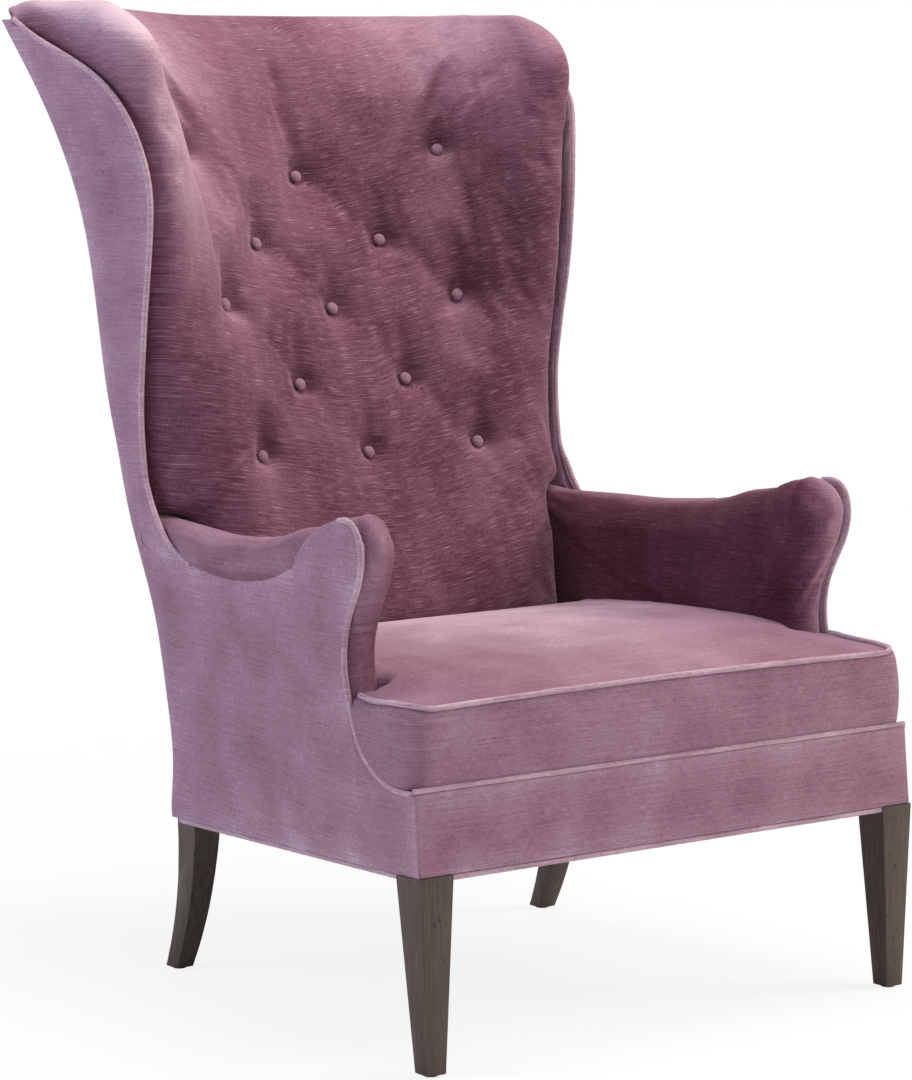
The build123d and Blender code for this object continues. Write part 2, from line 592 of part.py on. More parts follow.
def make_legs(welt_clear):
    foot = glide_height
    tall = front_height + 20
    reach = (front_leg_top - front_leg_foot) * (tall - foot) / (front_height - foot) + front_leg_foot
    front = loft([Pos(front_leg_x, front_leg_foot / 2, foot) * Rectangle(front_leg_foot, front_leg_foot),
                  Pos(front_leg_x, reach / 2, tall) * Rectangle(reach, reach)])
    top = rear_bolt_y
    low = top + rear_leg_sweep
    half_top = rear_leg_top / 2
    half_foot = rear_leg_foot / 2
    z_top = rear_height + 20
    z_knee = rear_height * 0.55
    knee = top + rear_leg_sweep * 0.2
    half_knee = (half_top + half_foot) / 2
    side = across([
        ThreePointArc(yz((top - half_top, z_top)), yz((knee - half_knee, z_knee)), yz((low - half_foot, foot))),
        Line(yz((low - half_foot, foot)), yz((low + half_foot, foot))),
        ThreePointArc(yz((low + half_foot, foot)), yz((knee + half_knee, z_knee)), yz((top + half_top, z_top))),
        Line(yz((top + half_top, z_top)), yz((top - half_top, z_top)))])
    taper = [Vector(rear_leg_x - half_top, 0, z_top), Vector(rear_leg_x + half_top, 0, z_top),
             Vector(rear_leg_x + half_foot, 0, foot), Vector(rear_leg_x - half_foot, 0, foot)]
    face = closed_face([Line(a, b) for a, b in zip(taper, taper[1:] + taper[:1])])
    rear = side & extrude(face, amount=3 * wide, dir=(0, 1, 0), both=True)
    legs = {}
    bolts = []
    glides = []
    under = across(chain([(-wide, base_z(-wide)), (3 * wide, base_z(3 * wide)), (3 * wide, 2 * wide), (-wide, 2 * wide)]))
    for name, leg, x, y, pin_y in (("front_leg", front, front_leg_x, front_bolt_y, front_leg_foot / 2),
                                   ("rear_leg", rear, rear_leg_x, rear_bolt_y, low)):
        height = base_z(y)
        bolt = Pos(x, y, height + (bolt_in_rail - bolt_in_leg) / 2) * Cylinder(bolt_diameter / 2,
                                                                              bolt_in_rail + bolt_in_leg)
        hole = Pos(x, y, height) * Cylinder(bolt_diameter / 2 + fit, 2 * (bolt_in_leg + fit))
        pin = Pos(x, pin_y, foot + glide_pin_length / 2) * Box(glide_pin_width, glide_pin_width, glide_pin_length)
        pin_hole = Pos(x, pin_y, foot) * Box(glide_pin_width + 2 * fit, glide_pin_width + 2 * fit,
                                             2 * (glide_pin_length + fit))
        glide = Pos(x, pin_y, foot / 2) * Cylinder(glide_diameter / 2, glide_height) + pin
        leg = leg - under - hole - pin_hole - welt_clear
        legs[name + "_right"] = leg
        legs[name + "_left"] = left_of(leg)
        bolts += [bolt, left_of(bolt)]
        glides += [glide, left_of(glide)]
    return legs | {"leg_bolts": Compound(children=bolts), "foot_glides": Compound(children=glides)}


# Seat: springs on the rails, deck cloth, foam, and the crowned T-shaped cover
spring_z = rail_height + spring_wire / 2 + fit
deck_low = rail_height + spring_wire + 2 * fit
seat_low = deck_low + deck_thickness + fit


def seat_plane(above):
    return Plane((0, base_front, base_z(base_front, above)), x_dir=(1, 0, 0), z_dir=(0, base_fall, 1))


def make_springs():
    plane = seat_plane(spring_z)
    front = apron_lean + rail_thickness / 2 + cover
    rear = follow(rear_edge, rear_height + rail_height) - frame_far + frame_depth / 2 - base_front + 6
    pitch = (rear - front) / spring_turns
    half = spring_width / 2
    clear_half = side_x(rear, rear_height + rail_height) - arm_thickness - spring_width
    springs = []
    clips = []
    for x in spread(-clear_half, clear_half, spring_count - 1):
        route = [Vector(x - half, front)]
        for i in range(spring_turns):
            way = 1 if i % 2 == 0 else -1
            low = front + pitch * i
            turn = x + way * half
            route += [Vector(turn - way * spring_corner, low), Vector(turn, low + spring_corner),
                      Vector(turn, low + pitch - spring_corner), Vector(turn - way * spring_corner, low + pitch)]
        route.append(Vector(x - way * half, rear))
        path = Polyline(*[plane.from_local_coords(p) for p in route])
        wire = Plane(path @ 0, z_dir=path % 0) * Rectangle(spring_wire, spring_wire)
        springs.append(sweep(wire, path=path, transition=Transition.RIGHT))
        for y in (front, rear):
            spot = plane * Pos(x, y, 0)
            shell = Box(spring_clip, spring_wire + 4 * spring_clip_wall, spring_wire + spring_clip_wall)
            shell -= Pos(0, 0, fit - spring_clip_wall) * Box(spring_clip * 2, spring_wire + 2 * fit,
                                                             spring_wire + spring_clip_wall)
            clips.append(spot * Pos(0, 0, spring_clip_wall / 2) * shell)
    return {"seat_springs": Compound(children=springs), "spring_clips": Compound(children=clips)}


def make_seat():
    front = apron_top_y
    rear = follow(inside_centre, seat_welt_height)
    crown = seat_welt_height + seat_crown
    profile = [(front - 4, seat_welt_height - 2, 0.0), (front + 30, seat_welt_height + 10, 10), (120, crown - 12, 12),
               (270, crown - 3, 12), (400, crown - 8, 10), (rear + 60, crown - 26, 8)]
    sections = []
    for y, height, hump in profile:
        half = 390.0
        edge = height - hump
        spots = [Vector(-half, y, 200), Vector(half, y, 200), Vector(half, y, edge), Vector(-half, y, edge)]
        sections.append(closed_face([
            Line(spots[0], spots[1]), Line(spots[1], spots[2]),
            ThreePointArc(spots[2], Vector(0, y, height + 1), spots[3]), Line(spots[3], spots[0])]))
    crowned = loft(sections)
    low_z = base_z(base_front, seat_low)
    side = across([
        ThreePointArc(yz((front + cover, low_z)), yz((front - 1, (low_z + seat_welt_height) / 2)),
                      yz((front + seat_front_lean, seat_welt_height))),
        Line(yz((front + seat_front_lean, seat_welt_height)), yz((front + seat_front_lean + 10, crown + 40))),
        Line(yz((front + seat_front_lean + 10, crown + 40)),
             yz((follow(inside_centre, crown + 40) - 6, crown + 40))),
        Line(yz((follow(inside_centre, crown + 40) - 6, crown + 40)), yz((follow(inside_centre, 250) - 6, 250))),
        Line(yz((follow(inside_centre, 250) - 6, 250)), yz((front + cover, low_z)))])
    below_seat = across(chain([(-wide, base_z(-wide, seat_low)), (3 * wide, base_z(3 * wide, seat_low)),
                               (3 * wide, 0), (-wide, 0)]))
    ears = between_sides(cover + fit) & (Pos(0, seat_ear_end - wide, 400) * Box(3 * wide, 2 * wide, 500))
    stem = between_sides(arm_thickness + fit)
    outer = (crowned & side & (ears + stem)) - below_seat
    outer = fillet([e for e in outer.edges().filter_by(lambda e: e.center().Y < front + 14 and abs(e.center().X) > 340
                                                       and e.bounding_box().size.Z > 40)], seat_corner_radius)
    foam_top = seat_welt_height - 12
    foam = between_sides(arm_thickness + seat_foam_inset) & slab(200, foam_top)
    foam &= across(chain([(front + 40, 200), (front + 40, 500), (follow(inside_centre, 500) - 30, 500),
                          (follow(inside_centre, 200) - 30, 200)]))
    foam -= below_seat
    foam_clear = between_sides(arm_thickness + seat_foam_inset - fit) & slab(200, foam_top + fit)
    foam_clear &= across(chain([(front + 40 - fit, 200), (front + 40 - fit, 500),
                                (follow(inside_centre, 500) - 30 + fit, 500),
                                (follow(inside_centre, 200) - 30 + fit, 200)]))
    deck = across(chain([(front + deck_setback, base_z(front + deck_setback, deck_low)), (520, base_z(520, deck_low)),
                         (520, base_z(520, deck_low + deck_thickness)),
                         (front + deck_setback, base_z(front + deck_setback, deck_low + deck_thickness))]))
    deck &= between_sides(arm_thickness + fit)
    radius = welt_diameter / 2
    welt_clear = Pos(0, apron_top_y + radius, apron_top + radius) * Rot(0, 90, 0) * Cylinder(radius + fit, 2 * wide)
    return {"seat_cover": outer - foam_clear - welt_clear, "seat_foam": foam, "seat_deck": deck}


def make_chair():
    boards = make_wing_boards()
    arms, roll_clear = make_arms()
    welts, welt_clear = make_welts()
    return (make_back_frame() | boards | make_outside_panels(roll_clear) | make_back() | make_back_webbing()
            | arms | make_base() | welts | make_legs(welt_clear) | make_springs() | make_seat())


chair = make_chair()
limits = Compound(children=[Part() + piece for piece in chair.values()]).bounding_box()
to_origin = Pos(0, -limits.center().Y, 0)
os.makedirs("parts", exist_ok=True)
for name, piece in chair.items():
    export_step(to_origin * piece, f"parts/{name}.step")
print("front face of the front legs at y", round(-limits.center().Y, 2), "size", limits.size)
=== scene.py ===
import json
import math
import bmesh
import bpy
import numpy as np
from mathutils import Matrix, Vector, noise
from mathutils.bvhtree import BVHTree
from mathutils.kdtree import KDTree


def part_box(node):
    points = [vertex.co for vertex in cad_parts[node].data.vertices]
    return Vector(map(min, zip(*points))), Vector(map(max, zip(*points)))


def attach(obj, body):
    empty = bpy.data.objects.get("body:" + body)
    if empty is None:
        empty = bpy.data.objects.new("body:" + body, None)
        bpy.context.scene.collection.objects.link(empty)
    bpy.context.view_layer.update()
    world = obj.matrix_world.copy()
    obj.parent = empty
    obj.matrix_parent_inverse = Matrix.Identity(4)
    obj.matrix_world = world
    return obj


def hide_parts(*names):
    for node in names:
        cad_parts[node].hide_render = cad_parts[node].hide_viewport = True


# Wingback chair in mauve slub velvet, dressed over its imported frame. Metres, Z up, front towards -Y.
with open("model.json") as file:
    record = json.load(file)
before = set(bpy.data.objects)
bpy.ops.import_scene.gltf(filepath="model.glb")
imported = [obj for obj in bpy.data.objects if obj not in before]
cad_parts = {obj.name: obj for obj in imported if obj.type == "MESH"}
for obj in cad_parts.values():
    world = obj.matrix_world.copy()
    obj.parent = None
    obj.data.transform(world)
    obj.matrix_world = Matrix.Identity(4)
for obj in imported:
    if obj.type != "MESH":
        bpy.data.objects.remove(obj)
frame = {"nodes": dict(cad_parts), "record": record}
nodes = frame["nodes"]
scene = bpy.context.scene
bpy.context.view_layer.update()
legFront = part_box("front_leg_left")[0].y  # depths below are measured from the legs' front faces
mm = 0.001
bothSides = (("left", -1), ("right", 1))
print("frame loaded:", len(nodes), "nodes")


def linearColour(code):  # sRGB hex to the linear values that shaders take
    parts = [int(code[i:i + 2], 16) / 255 for i in (1, 3, 5)]
    return [p / 12.92 if p <= 0.04045 else ((p + 0.055) / 1.055) ** 2.4 for p in parts] + [1.0]


def addNode(tree, kind, inputs=None, **settings):  # one node with its settings, values and links
    node = tree.nodes.new("ShaderNode" + kind)
    for name, value in settings.items():
        setattr(node, name, value)
    for name, value in (inputs or {}).items():
        socket = node.inputs[name]
        if isinstance(value, bpy.types.NodeSocket):
            tree.links.new(value, socket)
        else:
            socket.default_value = value
    return node


def newMaterial(name):
    material = bpy.data.materials.new(name)
    material.use_nodes = True
    return material, material.node_tree, material.node_tree.nodes["Principled BSDF"]


def setRamp(node, stops):
    ramp = node.color_ramp
    while len(ramp.elements) < len(stops):
        ramp.elements.new(0.5)
    for element, (place, code) in zip(ramp.elements, stops):
        element.position = place
        element.color = linearColour(code)


def finishShader(tree, shader, colour, height, bumpStrength, bumpDepth, values):
    bump = addNode(tree, "Bump", {"Height": height, "Strength": bumpStrength, "Distance": bumpDepth})
    tree.links.new(colour, shader.inputs["Base Color"])
    tree.links.new(bump.outputs["Normal"], shader.inputs["Normal"])
    for name, value in values.items():
        shader.inputs[name].default_value = value


# Cotton velvet with slub yarns, woven and cut. Each piece carries two attributes: weft, its own flat cloth
# place with the share of flecks as the third value, and a paleness value: the cloth's tone with painted light
# and shade added, so that the pieces are lit and shaded copies of the one velvet.
velvetLook = {
    "shades": [(0.0, "#33101d"), (0.25, "#56303f"), (0.5, "#7a5566"), (0.75, "#977a89"), (1.0, "#c4aeb8")],
    "fleckColour": "#b592a1",
    "fleckLength": 28 * mm,
    "fleckWidth": 0.65 * mm,       # drawn coarser than the yarn so that it shows
    "fleckShare": 0.55,
    "fleckRange": (0.69, 0.86),    # noise values between which a slub fades in
    "streakLength": 70 * mm,
    "streakWidth": 1.6 * mm,
    "threadLength": 9 * mm,
    "threadWidth": 1.1 * mm,       # drawn coarser than the real weave so that it shows
    "patchSize": 70 * mm,          # areas where the pile is brushed another way
    "streakTone": 0.26,
    "weftTone": 0.16,
    "warpTone": 0.14,
    "patchTone": 0.24,
    "sheen": 0.35,
    "sheenTint": "#d8bfcb",
    "sheenRoughness": 0.4,
    "roughness": 0.95,
}


def makeVelvet():
    look = velvetLook
    material, tree, shader = newMaterial("mauveSlubVelvet")
    weft = addNode(tree, "Attribute", attribute_name="weft").outputs["Vector"]
    pile = addNode(tree, "Attribute", attribute_name="pile").outputs["Fac"]

    def yarn(along, across, detail):  # noise drawn out along the weft
        place = addNode(tree, "Mapping", {"Vector": weft, "Scale": (1 / along, 1 / across, 1.0)})
        return addNode(tree, "TexNoise", {"Vector": place.outputs["Vector"], "Scale": 1.0, "Detail": detail,
                                          "Roughness": 0.5}, noise_dimensions="2D").outputs["Fac"]

    def plus(base, value, weight):  # base + weight * (value - 0.5)
        term = addNode(tree, "Math", {0: value, 1: weight, 2: -0.5 * weight}, operation="MULTIPLY_ADD")
        return addNode(tree, "Math", {0: base, 1: term.outputs["Value"]}, operation="ADD").outputs["Value"]

    streaks = yarn(look["streakLength"], look["streakWidth"], 2.0)
    weftThreads = yarn(look["threadLength"], look["threadWidth"], 0.0)
    warpThreads = yarn(look["threadWidth"], look["threadLength"], 0.0)
    patches = yarn(look["patchSize"], look["patchSize"], 4.0)
    tone = plus(pile, streaks, look["streakTone"])
    tone = plus(tone, weftThreads, look["weftTone"])
    tone = plus(tone, warpThreads, look["warpTone"])
    tone = plus(tone, patches, look["patchTone"])
    shade = addNode(tree, "ValToRGB", {"Fac": tone})
    setRamp(shade, look["shades"])
    slubs = yarn(look["fleckLength"], look["fleckWidth"], 0.0)
    least, most = look["fleckRange"]
    flecks = addNode(tree, "MapRange", {"Value": slubs, "From Min": least, "From Max": most, "To Min": 0.0,
                                        "To Max": look["fleckShare"]})
    share = addNode(tree, "SeparateXYZ", {"Vector": weft}).outputs["Z"]
    flecks = addNode(tree, "Math", {0: flecks.outputs["Result"], 1: share}, operation="MULTIPLY")
    colour = addNode(tree, "Mix", {"Factor": flecks.outputs["Value"], 6: shade.outputs["Color"],
                                   7: linearColour(look["fleckColour"])}, data_type="RGBA")
    height = plus(weftThreads, streaks, 1.0)
    height = plus(height, warpThreads, 1.0)
    finishShader(tree, shader, colour.outputs[2], height, 0.3, 0.4 * mm, {
        "Roughness": look["roughness"],
        "Specular IOR Level": 0.1,
        "Sheen Weight": look["sheen"],
        "Sheen Roughness": look["sheenRoughness"],
        "Sheen Tint": linearColour(look["sheenTint"]),
    })
    return material


velvet = makeVelvet()

legLook = {
    "shades": [(0.3, "#2b211a"), (0.55, "#41352b"), (0.75, "#54463a")],
    "markColour": "#14100c",
    "grainWidth": 3.0 * mm,
    "grainLength": 70 * mm,
    "markSize": 9 * mm,    # small knocks of the distressed finish
    "roughness": 0.42,
}


def makeLegWood():
    # Stained hardwood under satin lacquer: near black brown, faint grain, small dark knocks
    look = legLook
    material, tree, shader = newMaterial("espressoStainedWood")
    place = addNode(tree, "TexCoord").outputs["Object"]
    fine = 1 / look["grainWidth"]
    along = addNode(tree, "Mapping", {"Vector": place, "Scale": (fine, fine, 1 / look["grainLength"])})
    grain = addNode(tree, "TexNoise", {"Vector": along.outputs["Vector"], "Scale": 1.0, "Detail": 4.0,
                                       "Roughness": 0.6})
    shade = addNode(tree, "ValToRGB", {"Fac": grain.outputs["Fac"]})
    setRamp(shade, look["shades"])
    marks = addNode(tree, "TexNoise", {"Vector": place, "Scale": 1 / look["markSize"], "Detail": 2.0})
    knocked = addNode(tree, "MapRange", {"Value": marks.outputs["Fac"], "From Min": 0.68, "From Max": 0.72})
    colour = addNode(tree, "Mix", {"Factor": knocked.outputs["Result"], 6: shade.outputs["Color"],
                                   7: linearColour(look["markColour"])}, data_type="RGBA")
    finishShader(tree, shader, colour.outputs[2], grain.outputs["Fac"], 0.2, 0.3 * mm,
                 {"Roughness": look["roughness"], "Specular IOR Level": 0.45})
    return material


def makeInnerStuff(name, dark, pale, grainSize, roughness, metallic=0.0):
    # Inner materials: raw beech, foam, jute, cambric, tempered wire and nylon, each with its own speckle
    material, tree, shader = newMaterial(name)
    place = addNode(tree, "TexCoord").outputs["Object"]
    speckle = addNode(tree, "TexNoise", {"Vector": place, "Scale": 1 / grainSize, "Detail": 3.0})
    shade = addNode(tree, "ValToRGB", {"Fac": speckle.outputs["Fac"]})
    setRamp(shade, [(0.35, dark), (0.65, pale)])
    finishShader(tree, shader, shade.outputs["Color"], speckle.outputs["Fac"], 0.2, 0.3 * mm,
                 {"Roughness": roughness, "Metallic": metallic})
    return material


legWood = makeLegWood()
innerLooks = {  # by slot: name, dark and pale colour, size of the grain, roughness, metallic
    "frame_wood": ("planedBeech", "#a97f55", "#c79d70", 6 * mm, 0.6),
    "foam": ("upholsteryFoam", "#c9b98c", "#ddd0a8", 2 * mm, 0.95),
    "spring_steel": ("temperedSpringSteel", "#4a4a4c", "#6c6c6f", 3 * mm, 0.4, 1.0),
    "glide_nylon": ("mouldedNylon", "#141414", "#222222", 2 * mm, 0.5),
    "lining_cloth": ("blackCambric", "#0d0d0d", "#1d1c1d", 1.5 * mm, 0.95),
    "webbing": ("juteWebbing", "#7d6440", "#a3875c", 2 * mm, 0.9),
}
innerStuff = {slot: makeInnerStuff(*look) for slot, look in innerLooks.items()}
for row in frame["record"]["subparts"]:  # carried-over nodes take the material of their slot
    if row["material_slot"] in innerStuff:
        nodes[row["node"]].data.materials.clear()
        nodes[row["node"]].data.materials.append(innerStuff[row["material_slot"]])
print("materials made")


def editable(mesh):
    bm = bmesh.new()
    bm.from_mesh(mesh)
    return bm


def putBack(bm, piece):
    bm.to_mesh(piece.data)
    bm.free()


def mergedCopy(nodeName):  # a CAD node's triangles joined into one surface
    bm = editable(nodes[nodeName].data)
    bmesh.ops.remove_doubles(bm, verts=bm.verts, dist=0.01 * mm)
    return bm


def newPiece(name, bm, material):
    mesh = bpy.data.meshes.new(name)
    bm.to_mesh(mesh)
    bm.free()
    piece = bpy.data.objects.new(name, mesh)
    scene.collection.objects.link(piece)
    mesh.materials.clear()
    mesh.materials.append(material)
    mesh.shade_smooth()
    return piece


def applyModifiers(piece):
    view = bpy.context.evaluated_depsgraph_get()
    mesh = bpy.data.meshes.new_from_object(piece.evaluated_get(view))
    piece.modifiers.clear()
    piece.data = mesh
    mesh.shade_smooth()


def dressed(piece, slotName, *replaced):
    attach(piece, "root")
    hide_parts(*replaced)
    return piece


def coordinates(piece, kind="co"):
    values = np.empty(len(piece.data.vertices) * 3)
    piece.data.vertices.foreach_get(kind, values)
    return values.reshape(-1, 3)


def setCoordinates(piece, values):
    piece.data.vertices.foreach_set("co", np.asarray(values, float).ravel())
    piece.data.update()


def normals(piece):
    return coordinates(piece, "normal")


def softStep(value, low, high):
    share = np.clip((value - low) / (high - low), 0, 1)
    return share * share * (3 - 2 * share)


def cloudy(points, size):  # slow unevenness, about -1 to 1
    return np.array([noise.noise(Vector(p) / size) for p in points])


def setCloth(piece, along, across, pile, flecks=0.12):  # what the velvet reads
    weft = piece.data.attributes.new("weft", "FLOAT_VECTOR", "POINT")
    weft.data.foreach_set("vector", np.stack([along, across, np.full(len(along), flecks)], axis=1).ravel())
    # paleness of the cloth: its tone with painted light and shade
    lean = piece.data.attributes.new("pile", "FLOAT", "POINT")
    lean.data.foreach_set("value", np.asarray(pile, float))


def roundedHeight(points, out, radius):  # height measured along the cloth where it rolls over the top
    rise = np.clip(out[:, 2], 0, 1)
    return points[:, 2] + radius * (np.arcsin(rise) - rise)


def islands(bm):  # the sets of faces that hang together
    waiting = set(bm.faces)
    while waiting:
        front = [waiting.pop()]
        island = set(front)
        while front:
            for edge in front.pop().edges:
                near = waiting.intersection(edge.link_faces)
                waiting -= near
                island |= near
                front += near
        yield island


def islandCentres(nodeName):  # middle of each separate solid in a node
    bm = mergedCopy(nodeName)
    bm.verts.index_update()
    centres = []
    for island in islands(bm):
        # a fixed order, so that each run gives the same sum
        group = sorted({v for face in island for v in face.verts}, key=lambda v: v.index)
        centres.append(sum((v.co for v in group), Vector()) / len(group))
    bm.free()
    return sorted(centres, key=lambda c: (-round(c.z, 2), c.x))


buttonPlaces = islandCentres("back_buttons")


def searchTree(*pieces):  # the faces of some pieces, for rays and nearest points
    points = []
    faces = []
    for piece in pieces:
        start = len(points)
        points += [v.co.copy() for v in piece.data.vertices]
        faces += [[start + i for i in p.vertices] for p in piece.data.polygons]
    return BVHTree.FromPolygons(points, faces)


def skyDirections(count):  # rays spread over the half sphere above a face
    turn = math.pi * (3 - math.sqrt(5))
    rays = []
    for i in range(count):
        share = (i + 0.5) / count
        flat = math.sqrt(share)
        rays.append(Vector((flat * math.cos(i * turn), flat * math.sin(i * turn), math.sqrt(1 - share))))
    return rays


wholeChair = searchTree(*[nodes[name] for name in nodes])
skyRays = skyDirections(12)


def openToAir(place, normal):  # true where a ray leaves the chair
    turn = normal.to_track_quat("Z", "Y")
    return any(wholeChair.ray_cast(place, turn @ ray, 3.0)[0] is None for ray in skyRays)


def relax(bm, verts, steps):
    for step in range(steps):
        bmesh.ops.smooth_vert(bm, verts=verts, factor=0.5, use_axis_x=True, use_axis_y=True, use_axis_z=True)


def meetNeighbours(bm, neighbours, ownSurface, meetDepth):
    # The cut edge runs in under the neighbours' cloth, no lower than the own surface lies beside them
    pushed = []
    for vert in [v for v in bm.verts if v.is_boundary]:
        place, normal, face, away = neighbours.find_nearest(vert.co)
        if away < 12 * mm:
            beside = vert.co + normal * 14 * mm
            level = ownSurface.ray_cast(Vector((beside.x, beside.y, 0.6)), Vector((0, 0, -1)))[0]
            vert.co = place - normal * meetDepth
            if level and vert.co.z > 0.40:
                vert.co.z = max(vert.co.z, level.z - 2 * mm)
                pushed.append(vert)
    for step in range(10):  # an even line where the two cloths meet
        for vert in pushed:
            levels = [e.other_vert(vert).co.z for e in vert.link_edges if e.is_boundary]
            vert.co.z = (vert.co.z + sum(levels) / len(levels)) / 2
    inside = {e.other_vert(v) for v in pushed for e in v.link_edges if not e.is_boundary}
    relax(bm, [v for v in inside if not v.is_boundary], 3)


rawShapes = {}  # each skin's places and normals before any smoothing


def visibleSkin(name, nodeName, backing, look):
    # Remesh the pad with what is behind it, then keep the cloth that meets the air and a tucked margin
    bm = mergedCopy(nodeName)
    for behind in backing:
        bm.from_mesh(nodes[behind].data)
    bmesh.ops.remove_doubles(bm, verts=bm.verts, dist=0.01 * mm)
    piece = newPiece(name, bm, velvet)
    even = piece.modifiers.new("even", "REMESH")
    even.mode = "VOXEL"
    even.voxel_size = look["voxel"]
    applyModifiers(piece)
    ownSurface = searchTree(nodes[nodeName])
    beside = [nodes[near] for near in look.get("neighbours", ())]
    neighbours = searchTree(*beside) if beside else None
    bm = editable(piece.data)
    keep = set()
    ours = set()
    for face in bm.faces:
        middle = face.calc_center_median()
        if ownSurface.find_nearest(middle, look["voxel"])[0] is None:
            continue
        if neighbours and neighbours.find_nearest(middle)[3] < ownSurface.find_nearest(middle)[3]:
            continue
        ours.add(face)
        if openToAir(middle + face.normal * 3 * mm, face.normal):
            keep.add(face)
    for ring in range(look["tuckRings"]):
        keep |= {near for face in keep for vert in face.verts for near in vert.link_faces if near in ours}
    bmesh.ops.delete(bm, geom=[f for f in bm.faces if f not in keep], context="FACES")
    main = max(islands(bm), key=len)
    bmesh.ops.delete(bm, geom=[f for f in bm.faces if f not in main], context="FACES")
    bm.verts.index_update()
    bm.normal_update()
    places = np.array([list(v.co) for v in bm.verts])
    rawShapes[name] = (places, np.array([list(v.normal) for v in bm.verts]))
    inner = [v for v in bm.verts if not v.is_boundary]
    relax(bm, inner, look["smoothSteps"])
    if look.get("tuftReach"):
        calm = [v for v in inner if all((v.co - spot).length > look["tuftReach"] for spot in buttonPlaces)]
        relax(bm, calm, look["calmSteps"])
        relax(bm, [v for v in calm if abs(v.co.x) > look["wingFrom"]], look["wingSteps"])
    if neighbours:
        meetNeighbours(bm, neighbours, ownSurface, look["meetDepth"])
    putBack(bm, piece)
    print(name, "skin:", len(piece.data.polygons), "faces")
    return piece


def relaxPiece(piece, steps):
    bm = editable(piece.data)
    relax(bm, [v for v in bm.verts if not v.is_boundary], steps)
    putBack(bm, piece)


# What all padded pieces share; each has its own stretch
clothLook = {
    "bend": 2.0,
    "pressure": 4.0,
    "frames": 20,
    "heldRings": 5,     # rows of faces held along a skin's cut edge
    "cover": 4 * mm,    # depth to which a skin is closed
}


def rimShare(piece):  # 1 at the cut edge of a skin, falling to 0 some rings inside
    rings = clothLook["heldRings"]
    bm = editable(piece.data)
    share = np.zeros(len(bm.verts))
    front = {v for v in bm.verts if v.is_boundary}
    seen = set(front)
    for ring in range(rings):
        for v in front:
            share[v.index] = 1 - ring / rings
        front = {e.other_vert(v) for v in front for e in v.link_edges} - seen
        seen |= front
    bm.free()
    return share


def puffUp(piece, look, held):
    # Cloth filled from inside: pressure swells it between the places that are held
    before = coordinates(piece)
    group = piece.vertex_groups.new(name="held")
    for index in np.nonzero(held > 0.01)[0]:
        group.add([int(index)], float(held[index]), "REPLACE")
    cloth = piece.modifiers.new("cloth", "CLOTH")
    settings = cloth.settings
    settings.quality = 4
    settings.mass = 0.3
    settings.tension_stiffness = look["stretch"]
    settings.compression_stiffness = look["stretch"]
    settings.shear_stiffness = look["stretch"] / 3
    settings.bending_stiffness = clothLook["bend"]
    settings.vertex_group_mass = "held"
    settings.use_pressure = True
    settings.uniform_pressure_force = clothLook["pressure"]
    settings.shrink_min = -look["spareCloth"]
    settings.effector_weights.gravity = 0
    cloth.collision_settings.use_collision = False
    cloth.point_cache.frame_start = 1
    cloth.point_cache.frame_end = clothLook["frames"]
    for number in range(1, clothLook["frames"] + 1):
        scene.frame_set(number)
    applyModifiers(piece)
    scene.frame_set(1)
    move = coordinates(piece) - before
    length = np.linalg.norm(move, axis=1, keepdims=True)
    capped = np.minimum(length, look["mostMove"]) / np.maximum(length, 1e-9)
    setCoordinates(piece, before + move * capped)
    piece.vertex_groups.clear()
    print(piece.name, "puffed, mean move mm", round(float(length.mean()) / mm, 2), "most",
          round(float(length.max()) / mm, 2))


def thicken(piece):  # closes a skin with its inner face
    wall = piece.modifiers.new("wall", "SOLIDIFY")
    wall.thickness = clothLook["cover"]
    wall.offset = -1
    wall.use_even_offset = False
    applyModifiers(piece)


def rimEdges(bm, outward):  # edges where the outer face of a panel turns in
    bm.normal_update()
    edges = []
    for edge in bm.edges:
        if len(edge.link_faces) == 2:
            facing = sorted(f.normal.dot(outward) for f in edge.link_faces)
            if facing[1] > 0.6 and facing[0] < 0.4:
                edges.append(edge)
    return edges


def rimLoop(nodeName, outward):
    # Ordered points round the outer edge of a panel
    bm = mergedCopy(nodeName)
    links = {}
    for edge in rimEdges(bm, outward):
        a, b = edge.verts
        links.setdefault(a, []).append(b)
        links.setdefault(b, []).append(a)
    chains = []
    waiting = set(links)
    while waiting:
        ends = [v for v in waiting if len(links[v]) == 1]
        chain = [ends[0] if ends else min(waiting, key=lambda v: v.index)]
        waiting.discard(chain[0])
        while True:
            following = [v for v in links[chain[-1]] if v in waiting]
            if not following:
                break
            chain.append(following[0])
            waiting.discard(following[0])
        chains.append([v.co.copy() for v in chain])
    bm.free()
    return max(chains, key=len)


def evenly(points, spacing):
    places = np.array([list(p) for p in points])
    steps = np.linalg.norm(np.diff(places, axis=0), axis=1)
    run = np.concatenate([[0], np.cumsum(steps)])
    count = max(2, round(run[-1] / spacing))
    at = np.linspace(0, run[-1], count + 1)
    return np.stack([np.interp(at, run, places[:, i]) for i in range(3)], axis=1)


def softened(points, times, closed=False):
    places = np.array(points)
    for step in range(times):
        mixed = 0.5 * places + 0.25 * (np.roll(places, 1, axis=0) + np.roll(places, -1, axis=0))
        if not closed:
            mixed[0] = places[0]
            mixed[-1] = places[-1]
        places = mixed
    return places


